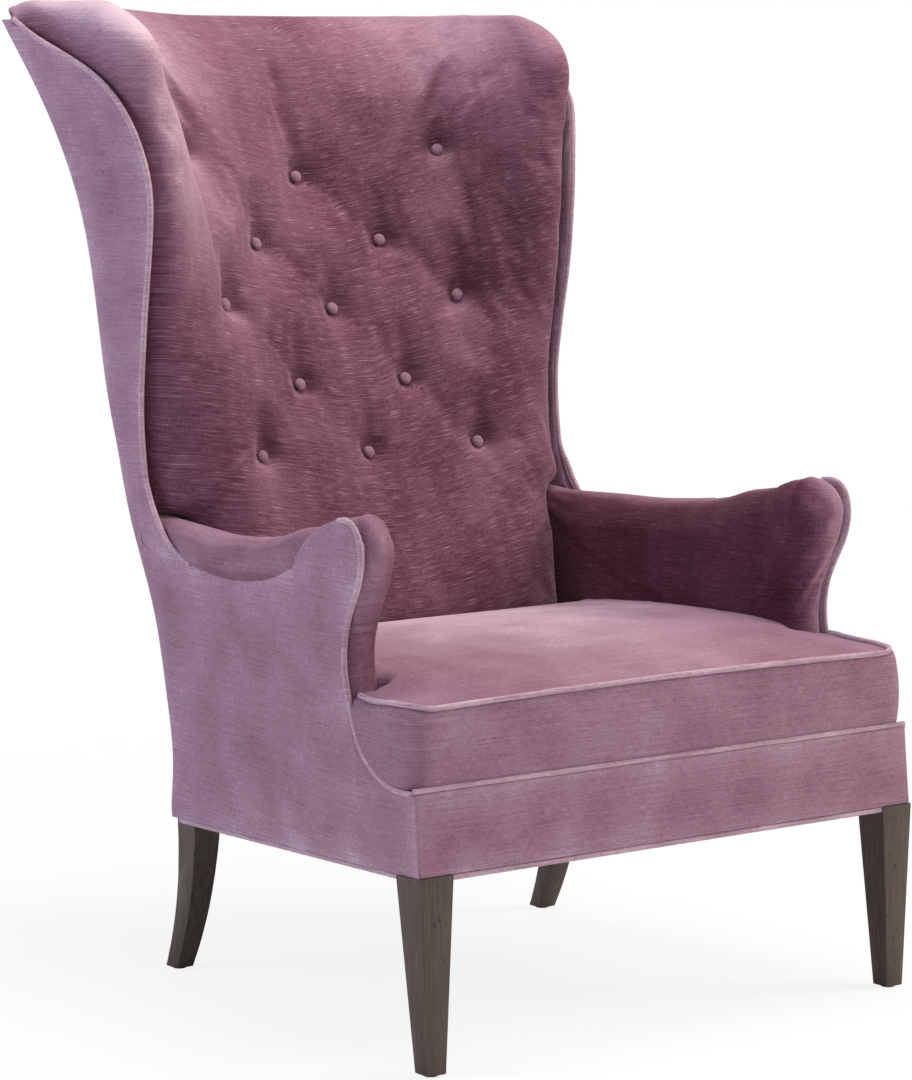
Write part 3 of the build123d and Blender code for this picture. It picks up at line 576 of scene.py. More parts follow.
# Seams of the outside panels, which the welts and the wings follow
seamLook = {
    "spacing": 5 * mm,
    "out": 1.8 * mm,
    "armTip": 200 * mm,               # the tip of the arm facing lies within this depth
    "wingFoot": 596 * mm,             # height at which the wing's own edge begins
    "wingDepth": 580 * mm,            # and the depth beyond which it lies
    "weltEnd": 500 * mm,              # depth at which the wing's welt dies out under the roll
    "frontCorner": (0.014, 0.314),    # depth and height at which the arm's welt begins
    "faceHeights": (0.43, 0.49),      # where the panel's outer face is measured
    # upper edge of the panel along the arm, from the wing to the tip of the arm facing: depth, height
    "armEdge": [
        (0.650, 0.606), (0.614, 0.604), (0.607, 0.592), (0.598, 0.571), (0.583, 0.552), (0.568, 0.536),
        (0.544, 0.524), (0.510, 0.515), (0.457, 0.508), (0.399, 0.506), (0.330, 0.515), (0.288, 0.527),
        (0.269, 0.537), (0.257, 0.547), (0.247, 0.556), (0.233, 0.569), (0.216, 0.579), (0.195, 0.590),
        (0.166, 0.600),
    ],
    "stripHeight": 56 * mm,
    "stripExtra": 35 * mm,            # taller beside the wing's foot
    "stripRows": 12,
    "stripWall": 3 * mm,
    "stripProud": 3 * mm,             # rise from the buried border to the open cloth
    "stripSunk": 1 * mm,
    "stripTurn": 2.5 * mm,            # the upper edge turns in under the roll
    "stripTurnReach": 5 * mm,
    "stripFade": 30 * mm,
}


def panelFace(side, sign):  # outer face of a panel beside the arm, carried on above its edge
    panel = searchTree(nodes["outside_panel_" + side])
    low, high = seamLook["faceHeights"]
    rows = []
    for height in (low, high):
        starts = [Vector((sign, legFront + depth, height)) for depth in np.linspace(0.15, 0.72, 39)]
        spots = [panel.ray_cast(start, Vector((-sign, 0, 0)))[0] for start in starts]
        rows.append(np.polyfit([s.y - legFront for s in spots if s], [s.x for s in spots if s], 3))

    def across(depth, height):
        lower = np.polyval(rows[0], depth)
        upper = np.polyval(rows[1], depth)
        return upper + (upper - lower) * (height - high) / (high - low)

    return across


def armEdge(side, sign):  # points along the panel's upper edge
    look = seamLook
    line = softened(evenly([Vector((0, d, h)) for d, h in look["armEdge"]], look["spacing"]), 6)
    face = panelFace(side, sign)
    return np.array([(face(d, h), d + legFront, h) for x, d, h in line])


def edgeStrip(side, sign):  # the cloth below that edge, drawn over the panel
    look = seamLook
    face = panelFace(side, sign)
    line = armEdge(side, sign)
    run = np.arange(len(line)) * look["spacing"]
    proud = softStep(run[-1] - run, 0, look["stripFade"]) * softStep(run, 0, 0.012)
    slope = 0.10 * (1 - softStep(run, 0, 0.06))
    tall = look["stripHeight"] + look["stripExtra"] * softStep(line[:, 1] - legFront, 0.50, 0.60)
    bm = bmesh.new()
    grid = []
    for (x, y, top), share, deep, lean in zip(line, proud, tall, slope):
        column = []
        for row in range(look["stripRows"]):
            drop = deep * row / (look["stripRows"] - 1)
            fade = float(softStep(deep - drop, 0, look["stripFade"]))
            out = look["stripProud"] * share * fade - look["stripSunk"]
            out -= look["stripTurn"] * max(0.0, 1 - drop / look["stripTurnReach"]) ** 2
            depth = y - legFront - lean * drop
            place = (face(depth, top - drop) + sign * out, depth + legFront, top - drop)
            column.append(bm.verts.new(place))
        grid.append(column)
    for a, b in zip(grid, grid[1:]):
        for row in range(look["stripRows"] - 1):
            corners = [a[row], b[row], b[row + 1], a[row + 1]]
            bm.faces.new(corners[::sign])  # wound to face outwards
    bm.normal_update()
    bmesh.ops.solidify(bm, geom=bm.faces[:], thickness=look["stripWall"])
    mesh = bpy.data.meshes.new("strip" + side)
    bm.to_mesh(mesh)
    bm.free()
    return mesh


def findSeams(side, sign):
    look = seamLook
    loop = rimLoop("outside_panel_" + side, Vector((sign, 0, 0)))
    low = min(range(len(loop)), key=lambda i: loop[i].y + loop[i].z)
    loop = loop[low:] + loop[:low]
    if loop[5].z < loop[-5].z:
        loop.reverse()
    points = evenly(loop, look["spacing"])
    depth = points[:, 1] - legFront
    height = points[:, 2]
    peak = int(np.argmax(np.where(depth < look["armTip"], height, 0)))
    cornerDepth, cornerHeight = look["frontCorner"]
    corner = int(np.argmin(np.abs(height[:peak] - cornerHeight) + np.abs(depth[:peak] - cornerDepth)))
    top = int(np.argmax(height))
    own = (depth[peak:top] > look["wingDepth"]) & (height[peak:top] > look["wingFoot"])
    start = peak + int(np.argmax(own))
    edge = armEdge(side, sign)[::-1]
    keep = (edge[:, 1] - legFront > look["weltEnd"]) & (edge[:, 2] < look["wingFoot"] - 0.004)
    out = np.array([sign * look["out"], 0, 0])
    wing = evenly(np.concatenate([edge[keep], points[start:top + 1]]), look["spacing"])
    return {"arm": softened(points[corner:peak + 4], 14) + out, "wing": softened(wing, 8) + out}


seamLines = {side: findSeams(side, sign) for side, sign in bothSides}


# Inside back: one tight cover over wings and roll, pulled in by the buttons
backLook = {
    "voxel": 4.8 * mm,
    "tuckRings": 4,
    "smoothSteps": 8,
    "calmSteps": 24,
    "tuftReach": 32 * mm,
    "tuftHold": 12 * mm,              # cloth held round each button
    "wingFrom": 205 * mm,             # the wings' front edges are one soft round
    "wingSteps": 110,
    "crown": (1.06, 1.10),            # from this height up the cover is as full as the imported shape
    "wingRound": 1 * mm,
    "wingBand": 80 * mm,
    "tipReach": 75 * mm,
    "tipRise": 13 * mm,
    "tipPull": 0.75,
    "tipLift": 3 * mm,
    "tipDrag": 1.3,                   # more than 1, because the cloth draws back again
    "stretch": 14.0,
    "spareCloth": 0.004,
    "mostMove": 10 * mm,
    "creaseDepth": 12 * mm,
    "creaseWidth": 10 * mm,
    "upCrease": (80 * mm, 0.03),      # length and lean of the line above a button
    "topCrease": (135 * mm, 0.10),    # the same above the top row
    "topRow": 60 * mm,
    "buttonGap": 40 * mm,             # buttons of other rows and columns are further away
    "neighbourReach": 150 * mm,
    # the back's tone with painted shade, darker than the other pieces
    "pile": 0.31,
    "bandPile": 0.30,                 # painted highlight along the left wing's edge, stronger higher up
    # painted light: the upper left half drawn paler
    "leftPile": 0.14,
    # painted light: the upper right corner drawn paler
    "cornerPaintedLight": 0.08,
    "crownPile": (0.03, 0.22),        # painted light on the top of the roll where it faces up, in the middle and added towards the wings
    "weftClimb": 0.16,                # the weft climbs towards both wings
}
backBacking = ("back_foam", "crest_rail", "back_post_left", "back_post_right", "wing_board_left",
               "wing_board_right")


def creaseLines(look):
    # Pull lines of the cloth: up from each button, and down to its neighbours on both sides
    lines = []
    topRow = buttonPlaces[0].z - look["topRow"]
    for spot in buttonPlaces:
        rise, lean = look["topCrease" if spot.z > topRow else "upCrease"]
        lines.append((spot.x, spot.z, spot.x * (1 + lean) - lean * 0.1, spot.z + rise, "up"))
        for other in buttonPlaces:
            away = math.hypot(other.x - spot.x, other.z - spot.z)
            if other.z < spot.z - look["buttonGap"] and away < look["neighbourReach"]:
                if abs(other.x - spot.x) > look["buttonGap"]:
                    lines.append((spot.x, spot.z, other.x, other.z, "across"))
    return lines


def pullCreases(piece, look):
    points = coordinates(piece)
    out = normals(piece)
    cloth = searchTree(piece)
    depth = np.zeros(len(points))
    for x0, z0, x1, z1, kind in creaseLines(look):
        ends = []
        for x, z in ((x0, z0), (x1, z1)):
            hit = cloth.ray_cast(Vector((x, -1, z)), Vector((0, 1, 0)))[0]
            ends.append(np.array(hit))
        run = ends[1] - ends[0]
        size = np.linalg.norm(run)
        offset = points - ends[0]
        along = np.clip(offset @ run / size ** 2, 0, 1)
        away = np.linalg.norm(offset - np.outer(along, run), axis=1)
        profile = 1 / (1 + (away / look["creaseWidth"]) ** 2)
        if kind == "up":
            strength = 0.9 * (1 - along) ** 0.8
        else:
            strength = 0.25 + 0.75 * np.abs(2 * along - 1) ** 1.5
        depth = np.maximum(depth, profile * strength)
    setCoordinates(piece, points - out * (depth * look["creaseDepth"])[:, None])


def wingDistance(points, side):  # how far the cloth is from the wing's welt
    line = seamLines[side]["wing"]
    away = np.full(len(points), 1.0)
    for spot in line[line[:, 2] > 0.62]:
        away = np.minimum(away, np.linalg.norm(points - spot, axis=1))
    return away


def roundWings(piece, look):  # fullness along the wings' front edges, and the raised tips
    points = coordinates(piece)
    out = normals(piece)
    for side, sign in bothSides:
        away = wingDistance(points, side)
        swell = np.sin(math.pi * np.clip(away / look["wingBand"], 0, 1))
        panel = searchTree(nodes["outside_panel_" + side])
        for index in np.nonzero((swell > 0.01) & (points[:, 0] * sign > 0.15))[0]:
            if panel.ray_cast(Vector(points[index]), Vector((sign, 0, 0)), 0.08)[0] is not None:
                swell[index] = 0
        points = points + out * (look["wingRound"] * swell)[:, None]
        tip = seamLines[side]["wing"][-1]
        near = np.clip(1 - np.linalg.norm(points - tip, axis=1) / look["tipReach"], 0, 1) ** 2
        lifted = tip + np.array([0, 0, look["tipLift"]])
        points = points + (lifted - points) * (look["tipPull"] * near)[:, None]
        gap = np.linalg.norm(points - tip, axis=1)
        drag = softStep(look["tipReach"] - gap, 0, look["tipReach"]) * look["tipDrag"]
        points = points + (tip - points[np.argmin(gap)]) * drag[:, None]
    raised = softStep(np.abs(points[:, 0]), 0.06, 0.30) * softStep(points[:, 2], 1.05, 1.125)
    raised = raised * softStep(wingDistance(points, "left"), 0.0, 0.022)
    raised = raised * (1 - softStep(out[:, 1], 0.2, 0.8))  # the rear edge stays on the crest
    fullness = np.where(points[:, 0] < 0, 1.0, 0.1)  # more on the left
    points[:, 2] += fullness * look["tipRise"] * raised
    setCoordinates(piece, points)


def fillCrown(piece, look):  # the roll along the top keeps its full size
    raw, out = rawShapes[piece.name]
    points = coordinates(piece)
    under = np.minimum(((points - raw) * out).sum(axis=1), 0)
    share = softStep(raw[:, 2], *look["crown"]) * (1 - softStep(np.abs(raw[:, 0]), 0.31, 0.36))
    setCoordinates(piece, points - out * (under * share)[:, None])


def backToneAndLight(points, out, look):  # tone with painted light: paler on the upward roll, the left wing's edge, upper left, upper right corner
    x, y, z = points.T
    pile = look["pile"] + 0.05 * cloudy(points, 0.12)
    crown, added = look["crownPile"]
    pile += (crown + added * softStep(np.abs(x), 0.06, 0.22)) * softStep(out[:, 2], 0.15, 0.8)
    high = softStep(z, 0.72, 1.05)
    away = wingDistance(points, "left")
    band = softStep(away, 0.006, 0.050) * (1 - softStep(away, 0.08, 0.20))
    pile += look["bandPile"] * band * (0.10 + 0.90 * high)
    pile += look["leftPile"] * softStep(-x, -0.12, 0.16) * high
    return pile + look["cornerPaintedLight"] * softStep(x, 0.05, 0.2) * softStep(z, 0.9, 1.08)


def makeInsideBack():
    look = backLook
    piece = visibleSkin("insideBack", "inside_back", backBacking, look)
    points = coordinates(piece)
    held = rimShare(piece)
    for spot in buttonPlaces:
        away = np.linalg.norm(points - np.array(spot), axis=1)
        held = np.maximum(held, np.clip(1.4 - away / look["tuftHold"], 0, 1))
    puffUp(piece, look, held)
    fillCrown(piece, look)
    roundWings(piece, look)
    pullCreases(piece, look)
    relaxPiece(piece, 2)
    thicken(piece)
    points = coordinates(piece)
    out = normals(piece)
    heights = np.linspace(0.44, 1.14, 24)
    cloth = searchTree(piece)
    middle = [cloth.ray_cast(Vector((0, -1, h)), Vector((0, 1, 0)))[0].y for h in heights]
    forward = np.clip(np.interp(points[:, 2], heights, middle) - points[:, 1], 0, 1)
    along = points[:, 0] + np.clip(points[:, 0] / 0.15, -1, 1) * forward  # measured round into the wings
    across = roundedHeight(points, out, 0.035) - np.clip(np.abs(along) - 0.03, 0, 0.4) * look["weftClimb"]
    setCloth(piece, along, across, backToneAndLight(points, out, look), 1.0)
    return dressed(piece, "velvet", "inside_back")


# Seat: crowned tight seat with ears in front of the arms
seatLook = {
    "neighbours": ("arm_pad_left", "arm_pad_right"),
    "meetDepth": 8 * mm,    # how far the seat's cloth runs in under the arms'
    "voxel": 4.5 * mm,
    "tuckRings": 6,
    "smoothSteps": 5,
    "stretch": 15.0,
    "spareCloth": 0.0,
    "mostMove": 8 * mm,
    "endFill": 7 * mm,
    "earDrop": 18 * mm,
    "topPile": 0.64,
    "rearPile": 0.22,       # painted light: the top drawn paler towards the back and the middle
    "middlePile": 0.14,
    "boxingToneAndLight": 0.62,
}


def shapeEnds(piece, look):  # boxing out to the apron's ends, ears drawn down beside the arms
    x, y, z = coordinates(piece).T
    across = np.abs(x)
    depth = y - legFront
    low = 1 - 0.6 * softStep(z, 0.40, 0.44)
    ear = softStep(across, 0.27, 0.36) * softStep(depth, 0.03, 0.12) * (1 - softStep(depth, 0.16, 0.2))
    drop = look["earDrop"] * np.where(x < 0, 1.0, 0.45)  # drawn tighter on the left
    wide = x + np.sign(x) * look["endFill"] * low * softStep(across, 0.26, 0.34)
    setCoordinates(piece, np.stack([wide, y, z - drop * ear * softStep(z, 0.34, 0.42)], axis=1))


def makeSeat():
    look = seatLook
    piece = visibleSkin("seat", "seat_cover", ("seat_foam",) + look["neighbours"], look)
    puffUp(piece, look, rimShare(piece))
    shapeEnds(piece, look)
    thicken(piece)
    points = coordinates(piece)
    out = normals(piece)
    x, y, z = points.T
    top = out[:, 2] > 0.7
    along = np.where(top, x, x - np.clip(x / 0.15, -1, 1) * (y - legFront))
    across = np.where(top, y, z)
    # Painted light: the top paler towards the back and the middle than the boxing
    rear = softStep(y - legFront, 0.05, 0.40) - 0.5
    middle = 1 - softStep(np.abs(x), 0.05, 0.25)
    topPile = look["topPile"] + look["rearPile"] * rear + look["middlePile"] * middle
    pile = np.where(top, topPile, look["boxingToneAndLight"]) + 0.06 * cloudy(points, 0.10)
    setCloth(piece, along, across, pile)
    return dressed(piece, "velvet", "seat_cover")


# Arms: padded roll along the top, rounded facing in front
armLook = {
    "voxel": 4.5 * mm,
    "tuckRings": 5,
    "smoothSteps": 6,
    "stretch": 20.0,
    "spareCloth": 0.0,
    "mostMove": 4 * mm,
    "rollRadius": 28 * mm,
    # painted shade and light: the inner face drawn dark, the outer face pale
    "innerPile": 0.16,
    "outerPile": 0.58,
    "facingPaintedLight": (-0.07, 0.16),        # painted light on the facing: darker at its foot and added towards its top
    "bulge": 16 * mm,                   # the roll's overhang, which dies away towards the wing
    "bulgeStart": (0.20, 0.34),
    "bulgeEnd": (0.42, 0.59),
    "calmZone": (0.15, 0.34, 0.525),    # depths and height of the run up to the arm's front end
    "calmSteps": 45,
    "neck": (0.175, 0.218, 0.31),       # depths where the filled neck starts, is fullest and ends
    "neckRise": 6.5 * mm,
}


def tuckEnds(piece, side, sign):  # the roll's ends go in behind the panel's edge and the wing's welt
    look = armLook
    face = panelFace(side, sign)
    points = coordinates(piece)
    depth = points[:, 1] - legFront
    full = (1 - softStep(depth, *look["bulgeEnd"])) * softStep(depth, *look["bulgeStart"])
    most = face(depth, points[:, 2]) * sign + look["bulge"] * full - 4 * mm * (1 - full)
    points[:, 0] = sign * np.minimum(points[:, 0] * sign, most)
    setCoordinates(piece, points)


def calmRun(piece, look):  # no hollow between the roll and the arm's front end
    near, far, low = look["calmZone"]
    bm = editable(piece.data)
    inner = [v for v in bm.verts if not v.is_boundary]
    for share in (1.0, 0.6):
        rim = (1 - share) * (far - near) / 2
        zone = [v for v in inner if near + rim < v.co.y - legFront < far - rim and v.co.z > low]
        relax(bm, zone, look["calmSteps"])
    putBack(bm, piece)


def fillNeck(piece, look):  # the top line climbs evenly to the front end
    points = coordinates(piece)
    depth = points[:, 1] - legFront
    start, middle, end = look["neck"]
    share = softStep(depth, start, middle) * (1 - softStep(depth, middle, end))
    points[:, 2] += look["neckRise"] * share * softStep(points[:, 2], 0.525, 0.56)
    setCoordinates(piece, points)


def makeArm(side, sign):
    look = armLook
    backing = ("arm_post_" + side, "arm_rail_" + side)
    piece = visibleSkin("armPad" + side.title(), "arm_pad_" + side, backing, look)
    puffUp(piece, look, rimShare(piece))
    calmRun(piece, look)
    fillNeck(piece, look)
    tuckEnds(piece, side, sign)
    thicken(piece)
    points = coordinates(piece)
    out = normals(piece)
    radius = look["rollRadius"]
    outside = out[:, 0] * sign > 0
    rise = np.clip(out[:, 2], 0, 1)
    past = points[:, 2] - radius * rise + radius * (math.pi - np.arcsin(rise))  # beyond the top of the roll
    across = np.where(outside & (rise > 0.02), past, roundedHeight(points, out, radius))
    # Painted light and shade: paler where the cloth turns out, up and to the front, dark on the inner face
    turned = softStep(out[:, 0] * sign * 0.75 + out[:, 2] * 0.33 - out[:, 1] * 0.75, -0.4, 0.7)
    pile = look["innerPile"] + (look["outerPile"] - look["innerPile"]) * turned + 0.05 * cloudy(points, 0.09)
    foot, added = look["facingPaintedLight"]
    pile += softStep(-out[:, 1], 0.2, 0.7) * (added * softStep(points[:, 2], 0.47, 0.60) + foot)
    setCloth(piece, points[:, 1], across, pile, 0.25)
    return dressed(piece, "velvet", "arm_pad_" + side)


insideBack = makeInsideBack()
seat = makeSeat()
for side, sign in bothSides:
    makeArm(side, sign)
print("padded pieces made")

# Taut panels over wadding: outside left and right, outside back and front apron
panelLook = {
    "cell": 13 * mm,
    "turnedEdge": 1.9 * mm,    # radius of the cloth where it turns in at a seam
    "swell": 1.5 * mm,         # soft fullness away from the seams
    "swellReach": 50 * mm,
    "ripple": 0.6 * mm,
    "rippleSize": 110 * mm,
    "peakReach": 38 * mm,      # the tip of the arm facing is rounded within this distance
    "edgePile": 0.12,          # paler along the seams
    "edgeReach": 22 * mm,
    # each panel's tone with painted light: lit copies of the one velvet
    "sidePile": 0.66,
    "rearPile": 0.62,
    "apronPile": 0.59,
}


def cutInCells(bm, axis, cell):
    low = min(v.co[axis] for v in bm.verts)
    high = max(v.co[axis] for v in bm.verts)
    count = max(1, round((high - low) / cell))
    way = Vector((0, 0, 0))
    way[axis] = 1.0
    for i in range(1, count):
        place = Vector((0, 0, 0))
        place[axis] = low + (high - low) * i / count
        bmesh.ops.bisect_plane(bm, geom=bm.verts[:] + bm.edges[:] + bm.faces[:], plane_co=place, plane_no=way,
                               dist=0.01 * mm)


def makePanel(name, nodeName, outward, axes, baseToneAndLight, strip=None):
    look = panelLook
    bm = mergedCopy(nodeName)
    bmesh.ops.dissolve_limit(bm, angle_limit=math.radians(1.0), verts=bm.verts, edges=bm.edges)
    rim = rimEdges(bm, outward)
    bmesh.ops.bevel(bm, geom=rim, offset=look["turnedEdge"], offset_type="OFFSET", segments=3, profile=0.5,
                    affect="EDGES", clamp_overlap=True, material=-1)
    bmesh.ops.triangulate(bm, faces=bm.faces)
    for axis in axes:
        cutInCells(bm, axis, look["cell"])
    bm.normal_update()
    rimPoints = [v.co.copy() for v in bm.verts if 0.2 < v.normal.dot(outward) < 0.8]
    rimTree = KDTree(len(rimPoints))
    for number, place in enumerate(rimPoints):
        rimTree.insert(place, number)
    rimTree.balance()
    if abs(outward.x) > 0.5:
        tips = [v.co.copy() for v in bm.verts if v.co.y - legFront < seamLook["armTip"]]
        tip = max(tips, key=lambda p: p.z)
        for share in (1.0, 0.75, 0.5):
            relax(bm, [v for v in bm.verts if (v.co - tip).length < look["peakReach"] * share], 5)
    own = len(bm.verts)
    if strip:
        bm.from_mesh(strip)
        bpy.data.meshes.remove(strip)
    pile = []
    for number, vert in enumerate(bm.verts):
        away = rimTree.find(vert.co)[2]
        share = float(softStep(away, 0, look["swellReach"]))
        ripple = noise.noise(vert.co / look["rippleSize"]) * look["ripple"]
        if number < own and vert.normal.dot(outward) > 0.6:
            vert.co += outward * (look["swell"] + ripple) * share
        pile.append(baseToneAndLight + look["edgePile"] * math.exp(-away / look["edgeReach"]))
    piece = newPiece(name, bm, velvet)
    piece.data.set_sharp_from_angle(angle=math.radians(50))
    points = coordinates(piece)
    along = points[:, 1] if abs(outward.x) > 0.5 else points[:, 0]
    setCloth(piece, along, points[:, 2], np.array(pile) + 0.06 * cloudy(points, 0.09))
    return dressed(piece, "velvet", nodeName)


for side, sign in bothSides:
    makePanel("outside" + side.title(), "outside_panel_" + side, Vector((sign, 0, 0)), (1, 2),
              panelLook["sidePile"], edgeStrip(side, sign))
makePanel("outsideBack", "outside_back_panel", Vector((0, 1, 0)), (0, 2), panelLook["rearPile"])
makePanel("apron", "front_apron", Vector((0, -1, 0)), (0, 2), panelLook["apronPile"])
print("panels made")

# Covered buttons: cloth drawn over a domed cap
buttonLook = {
    "width": 15.5 * mm,
    "dome": 4.0 * mm,       # half height of the flattened cap
    "proud": 3.2 * mm,      # middle of the cap above the cloth
    "overTie": 0.8 * mm,    # cloth over the end of the tie
    "segments": 28,
    "rings": 14,
    # paler than the back around them: painted light on the caps
    "pile": 0.62,
}


def makeButtons(back):
    look = buttonLook
    bm = bmesh.new()
    caps = mergedCopy("back_buttons")
    ties = [v.co.copy() for v in nodes["button_ties"].data.vertices]
    cloth = searchTree(back)
    for spot in buttonPlaces:
        near = [f for f in caps.faces if (f.calc_center_median() - spot).length < look["width"]]
        flat = max(near, key=lambda f: f.calc_area() * (f.normal.y < -0.3))
        ball = bmesh.ops.create_uvsphere(bm, u_segments=look["segments"], v_segments=look["rings"],
                                         radius=0.5)
        bottom = cloth.ray_cast(spot + flat.normal * 0.05, -flat.normal)[0] or spot
        turn = flat.normal.to_track_quat("Z", "Y").to_matrix().to_4x4()
        size = Matrix.Diagonal((look["width"], look["width"], look["dome"] * 2, 1))
        tie = max((v - bottom).dot(flat.normal) for v in ties if (v - spot).length < look["width"])
        middle = max(look["proud"], tie + look["overTie"] - look["dome"])
        place = Matrix.Translation(bottom + flat.normal * middle)
        bmesh.ops.transform(bm, matrix=place @ turn @ size, verts=ball["verts"])
    caps.free()
    piece = newPiece("coveredButtons", bm, velvet)
    points = coordinates(piece)
    setCloth(piece, points[:, 0], points[:, 2], np.full(len(points), look["pile"]))
    return dressed(piece, "velvet", "back_buttons")


makeButtons(insideBack)

# Welts: cloth-covered cord sewn into the seams
weltLook = {
    "width": 6.6 * mm,
    "spacing": 5.0 * mm,
    "sides": 3,              # bevel steps of the round
    "gather": 0.25 * mm,     # slight unevenness of the cloth
    "gatherSize": 9 * mm,
    "seatLift": 2.4 * mm,    # how far the seat's welt stands out of its cloth
    # paler than the cloth around them: a painted highlight along the cord
    "pile": 0.84,
}


def settled(points, piece, lift):  # points laid on the cloth
    cloth = searchTree(piece)
    laid = []
    for point in points:
        place, normal, face, away = cloth.find_nearest(Vector(point))
        laid.append(place + normal * lift)
    return np.array(laid)


def makeWelt(name, points, closed=False, replaced=()):
    look = weltLook
    curve = bpy.data.curves.new(name + "Line", "CURVE")
    curve.dimensions = "3D"
    curve.bevel_depth = look["width"] / 2
    curve.bevel_resolution = look["sides"]
    curve.use_fill_caps = True
    line = curve.splines.new("POLY")
    line.points.add(len(points) - 1)
    for point, place in zip(line.points, points):
        point.co = (*place, 1.0)
    line.use_cyclic_u = closed
    holder = bpy.data.objects.new(name + "Line", curve)
    scene.collection.objects.link(holder)
    view = bpy.context.evaluated_depsgraph_get()
    mesh = bpy.data.meshes.new_from_object(holder.evaluated_get(view))
    bpy.data.objects.remove(holder)
    bm = editable(mesh)
    bpy.data.meshes.remove(mesh)
    bmesh.ops.remove_doubles(bm, verts=bm.verts, dist=0.01 * mm)
    bm.normal_update()
    for vert in bm.verts:
        vert.co += vert.normal * noise.noise(vert.co / look["gatherSize"]) * look["gather"]
    piece = newPiece(name, bm, velvet)
    places = coordinates(piece)
    setCloth(piece, places[:, 0] + places[:, 1], places[:, 2], np.full(len(places), look["pile"]))
    return dressed(piece, "welt_velvet", *replaced)


for side in ("left", "right"):
    makeWelt("armWelt" + side.title(), seamLines[side]["arm"])
    makeWelt("wingWelt" + side.title(), seamLines[side]["wing"])


def seatWelt(seat):
    bm = mergedCopy("seat_cover")
    bm.normal_update()
    chosen = set()
    for edge in bm.edges:
        if len(edge.link_faces) == 2:
            up = sorted(f.normal.z for f in edge.link_faces)
            place = (edge.verts[0].co + edge.verts[1].co) / 2
            if up[1] > 0.75 and up[0] < 0.5 and place.z > 0.39 and place.y - legFront < 0.130:
                chosen |= set(edge.verts)
    spots = [v.co.copy() for v in chosen if v.co.x > 0]
    bm.free()
    rightSide = sorted(spots, key=lambda s: math.atan2(s.y - legFront - 0.10, s.x - 0.25))
    leftSide = [Vector((-s.x, s.y, s.z)) for s in reversed(rightSide)]
    points = softened(evenly(leftSide + rightSide, weltLook["spacing"]), 4)
    points = softened(settled(points, seat, weltLook["seatLift"]), 3)
    makeWelt("seatWelt", points)


seatWelt(seat)


def baseWelts():
    tube = np.array([list(v.co) for v in nodes["base_welt"].data.vertices])
    half = weltLook["width"] / 2
    corners = []
    for sign, front in ((-1, True), (1, True), (1, False), (-1, False)):
        edge = tube[:, 1] < tube[:, 1].min() + 0.02 if front else tube[:, 1] > tube[:, 1].max() - 0.02
        near = tube[edge]
        x = sign * (np.abs(near[:, 0]).max() - half)
        y = near[:, 1].min() + half if front else near[:, 1].max() - half
        z = (near[:, 2].min() + near[:, 2].max()) / 2
        corners.append(Vector((x, y, z)))
    loop = evenly(corners + corners[:1], weltLook["spacing"])[:-1]
    makeWelt("baseWelt", softened(loop, 2, closed=True), closed=True, replaced=("base_welt",))
    low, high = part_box("apron_welt")
    ends = [Vector((x, (low.y + high.y) / 2, (low.z + high.z) / 2)) for x in (low.x, high.x)]
    makeWelt("apronWelt", evenly(ends, weltLook["spacing"]), replaced=("apron_welt",))


baseWelts()
print("welts made")

# Legs: eased edges over the taper
legShape = {
    "ease": 1.4 * mm,
    "easeSteps": 3,
    "sharpFrom": math.radians(35),    # edges that turn by more than this are eased
    "hiddenTop": 45 * mm,             # inside the seat's frame, where short edges stay sharp
}


def makeLeg(nodeName):
    look = legShape
    bm = mergedCopy(nodeName)
    bmesh.ops.dissolve_limit(bm, angle_limit=math.radians(2.0), verts=bm.verts, edges=bm.edges)
    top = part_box(nodeName)[1].z
    edges = []
    for edge in bm.edges:
        if len(edge.link_faces) == 2 and edge.calc_face_angle(0) > look["sharpFrom"]:
            hidden = max(v.co.z for v in edge.verts) > top - look["hiddenTop"]
            if not hidden or edge.calc_length() >= 0.06:
                edges.append(edge)
    bmesh.ops.bevel(bm, geom=edges, offset=look["ease"], offset_type="OFFSET", segments=look["easeSteps"],
                    profile=0.5, affect="EDGES", clamp_overlap=True, material=-1)
    name = "".join(part.title() for part in nodeName.split("_"))
    piece = newPiece(name[0].lower() + name[1:], bm, legWood)
    piece.data.set_sharp_from_angle(angle=math.radians(30))
    return dressed(piece, "leg_wood", nodeName)


for nodeName in ("front_leg_left", "front_leg_right", "rear_leg_left", "rear_leg_right"):
    makeLeg(nodeName)
print("legs made")

# Studio: pale floor, soft light, and the photograph's viewing angle
studio = {
    "cameraPlace": (-2.7556, -3.2220, 1.0795),    # depth from the legs' front faces
    "cameraYaw": 37.09,
    "cameraDown": 6.96,
    "lens": 125.95,
    "shift": (0.0014, 0.0030),
    "ambient": 0.20,
    "lights": [  # name, place, target, size, power and colour
        ("keyLight", (2.9, -1.9, 2.3), (0, 0, 0.7), 1.4, 100.0, "#fff4ec"),
        ("frontLight", (-0.9, -3.6, 1.5), (0, 0, 0.6), 1.8, 27.0, "#f4f0ff"),
        ("sideLight", (-3.2, 1.0, 1.6), (0, 0, 0.6), 2.0, 66.0, "#dde4ff"),
        ("topLight", (0.3, 0.0, 3.4), (0, 0.1, 0.6), 1.8, 85.0, "#fff4ee"),
    ],
}


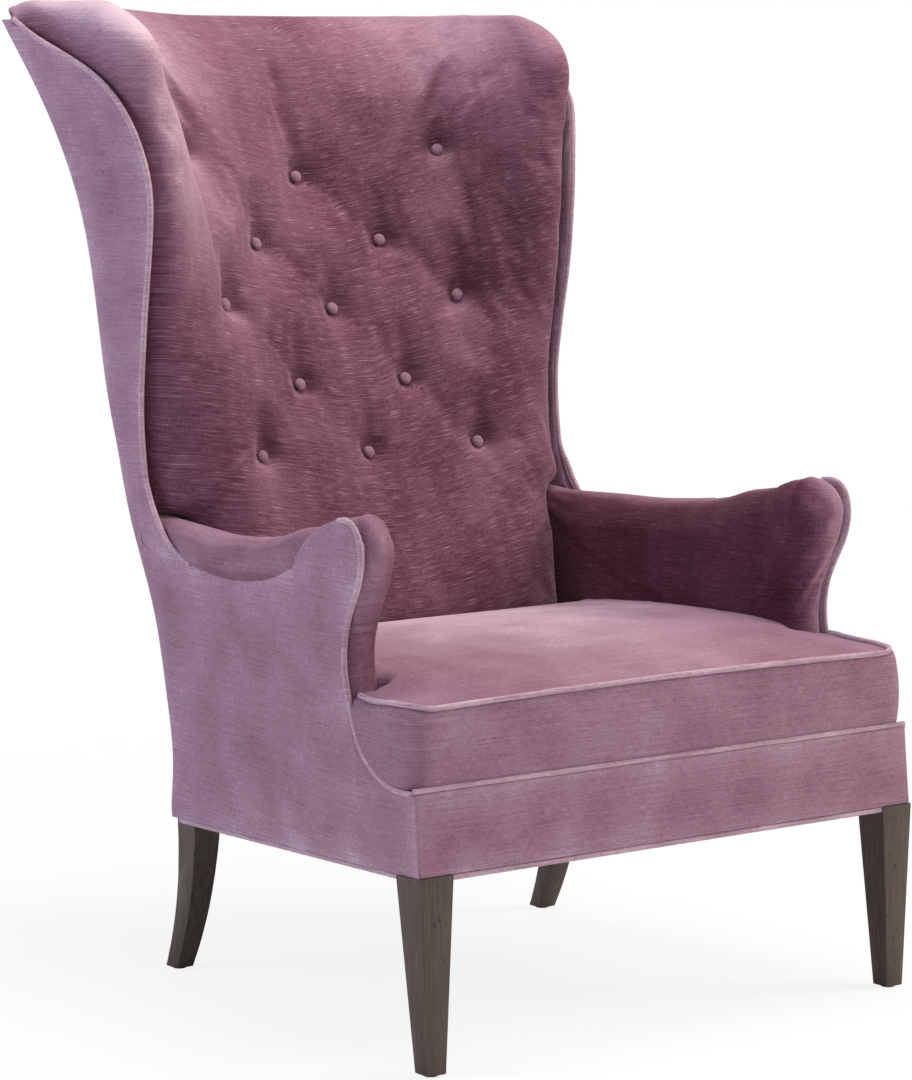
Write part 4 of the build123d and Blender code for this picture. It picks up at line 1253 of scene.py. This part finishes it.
def makeFloor():
    bm = bmesh.new()
    bmesh.ops.create_grid(bm, x_segments=2, y_segments=2, size=20)
    material, tree, shader = newMaterial("paleStudioFloor")
    shader.inputs["Base Color"].default_value = linearColour("#f4f3f2")
    shader.inputs["Roughness"].default_value = 0.9
    seen = addNode(tree, "LightPath")
    white = addNode(tree, "Emission", {"Color": (1, 1, 1, 1), "Strength": 1.0})
    away = addNode(tree, "VectorMath", {0: addNode(tree, "TexCoord").outputs["Object"]}, operation="LENGTH")
    fade = addNode(tree, "MapRange", {"Value": away.outputs["Value"], "From Min": 0.5, "From Max": 1.9,
                                      "To Min": 0.86, "To Max": 1.0}, interpolation_type="SMOOTHSTEP")
    share = addNode(tree, "Math", {0: seen.outputs["Is Camera Ray"], 1: fade.outputs["Result"]},
                    operation="MULTIPLY")
    mixed = addNode(tree, "MixShader", {0: share.outputs["Value"], 1: shader.outputs["BSDF"],
                                        2: white.outputs["Emission"]})
    tree.links.new(mixed.outputs["Shader"], tree.nodes["Material Output"].inputs["Surface"])
    floor = newPiece("floor", bm, material)


def areaLight(name, place, target, size, power, colour):
    data = bpy.data.lights.new(name, "AREA")
    data.shape = "DISK"
    data.size = size
    data.energy = power
    data.color = linearColour(colour)[:3]
    lamp = bpy.data.objects.new(name, data)
    scene.collection.objects.link(lamp)
    lamp.location = place
    lamp.rotation_euler = (Vector(target) - Vector(place)).to_track_quat("-Z", "Y").to_euler()


def makeStudio():
    makeFloor()
    world = bpy.data.worlds.new("studioWorld")
    scene.world = world
    world.use_nodes = True
    tree = world.node_tree
    back = tree.nodes["Background"]
    back.inputs["Color"].default_value = (1, 1, 1, 1)
    rays = addNode(tree, "LightPath")
    direct = addNode(tree, "Math", {0: rays.outputs["Is Camera Ray"], 1: rays.outputs["Is Glossy Ray"]},
                     operation="MAXIMUM")
    direct = addNode(tree, "Math", {0: direct.outputs["Value"], 1: rays.outputs["Is Transmission Ray"]},
                     operation="MAXIMUM")
    strength = addNode(tree, "MapRange", {"Value": direct.outputs["Value"], "To Min": studio["ambient"],
                                          "To Max": 1.0})
    tree.links.new(strength.outputs["Result"], back.inputs["Strength"])
    for light in studio["lights"]:
        areaLight(*light)
    data = bpy.data.cameras.new("photoCamera")
    data.lens = studio["lens"]
    data.sensor_width = 36.0
    data.shift_x, data.shift_y = studio["shift"]
    camera = bpy.data.objects.new("photoCamera", data)
    scene.collection.objects.link(camera)
    x, y, z = studio["cameraPlace"]
    camera.location = (x, y + legFront, z)
    camera.rotation_euler = (math.radians(90 - studio["cameraDown"]), 0, math.radians(-studio["cameraYaw"]))
    scene.camera = camera
    scene.view_settings.view_transform = "Standard"


makeStudio()
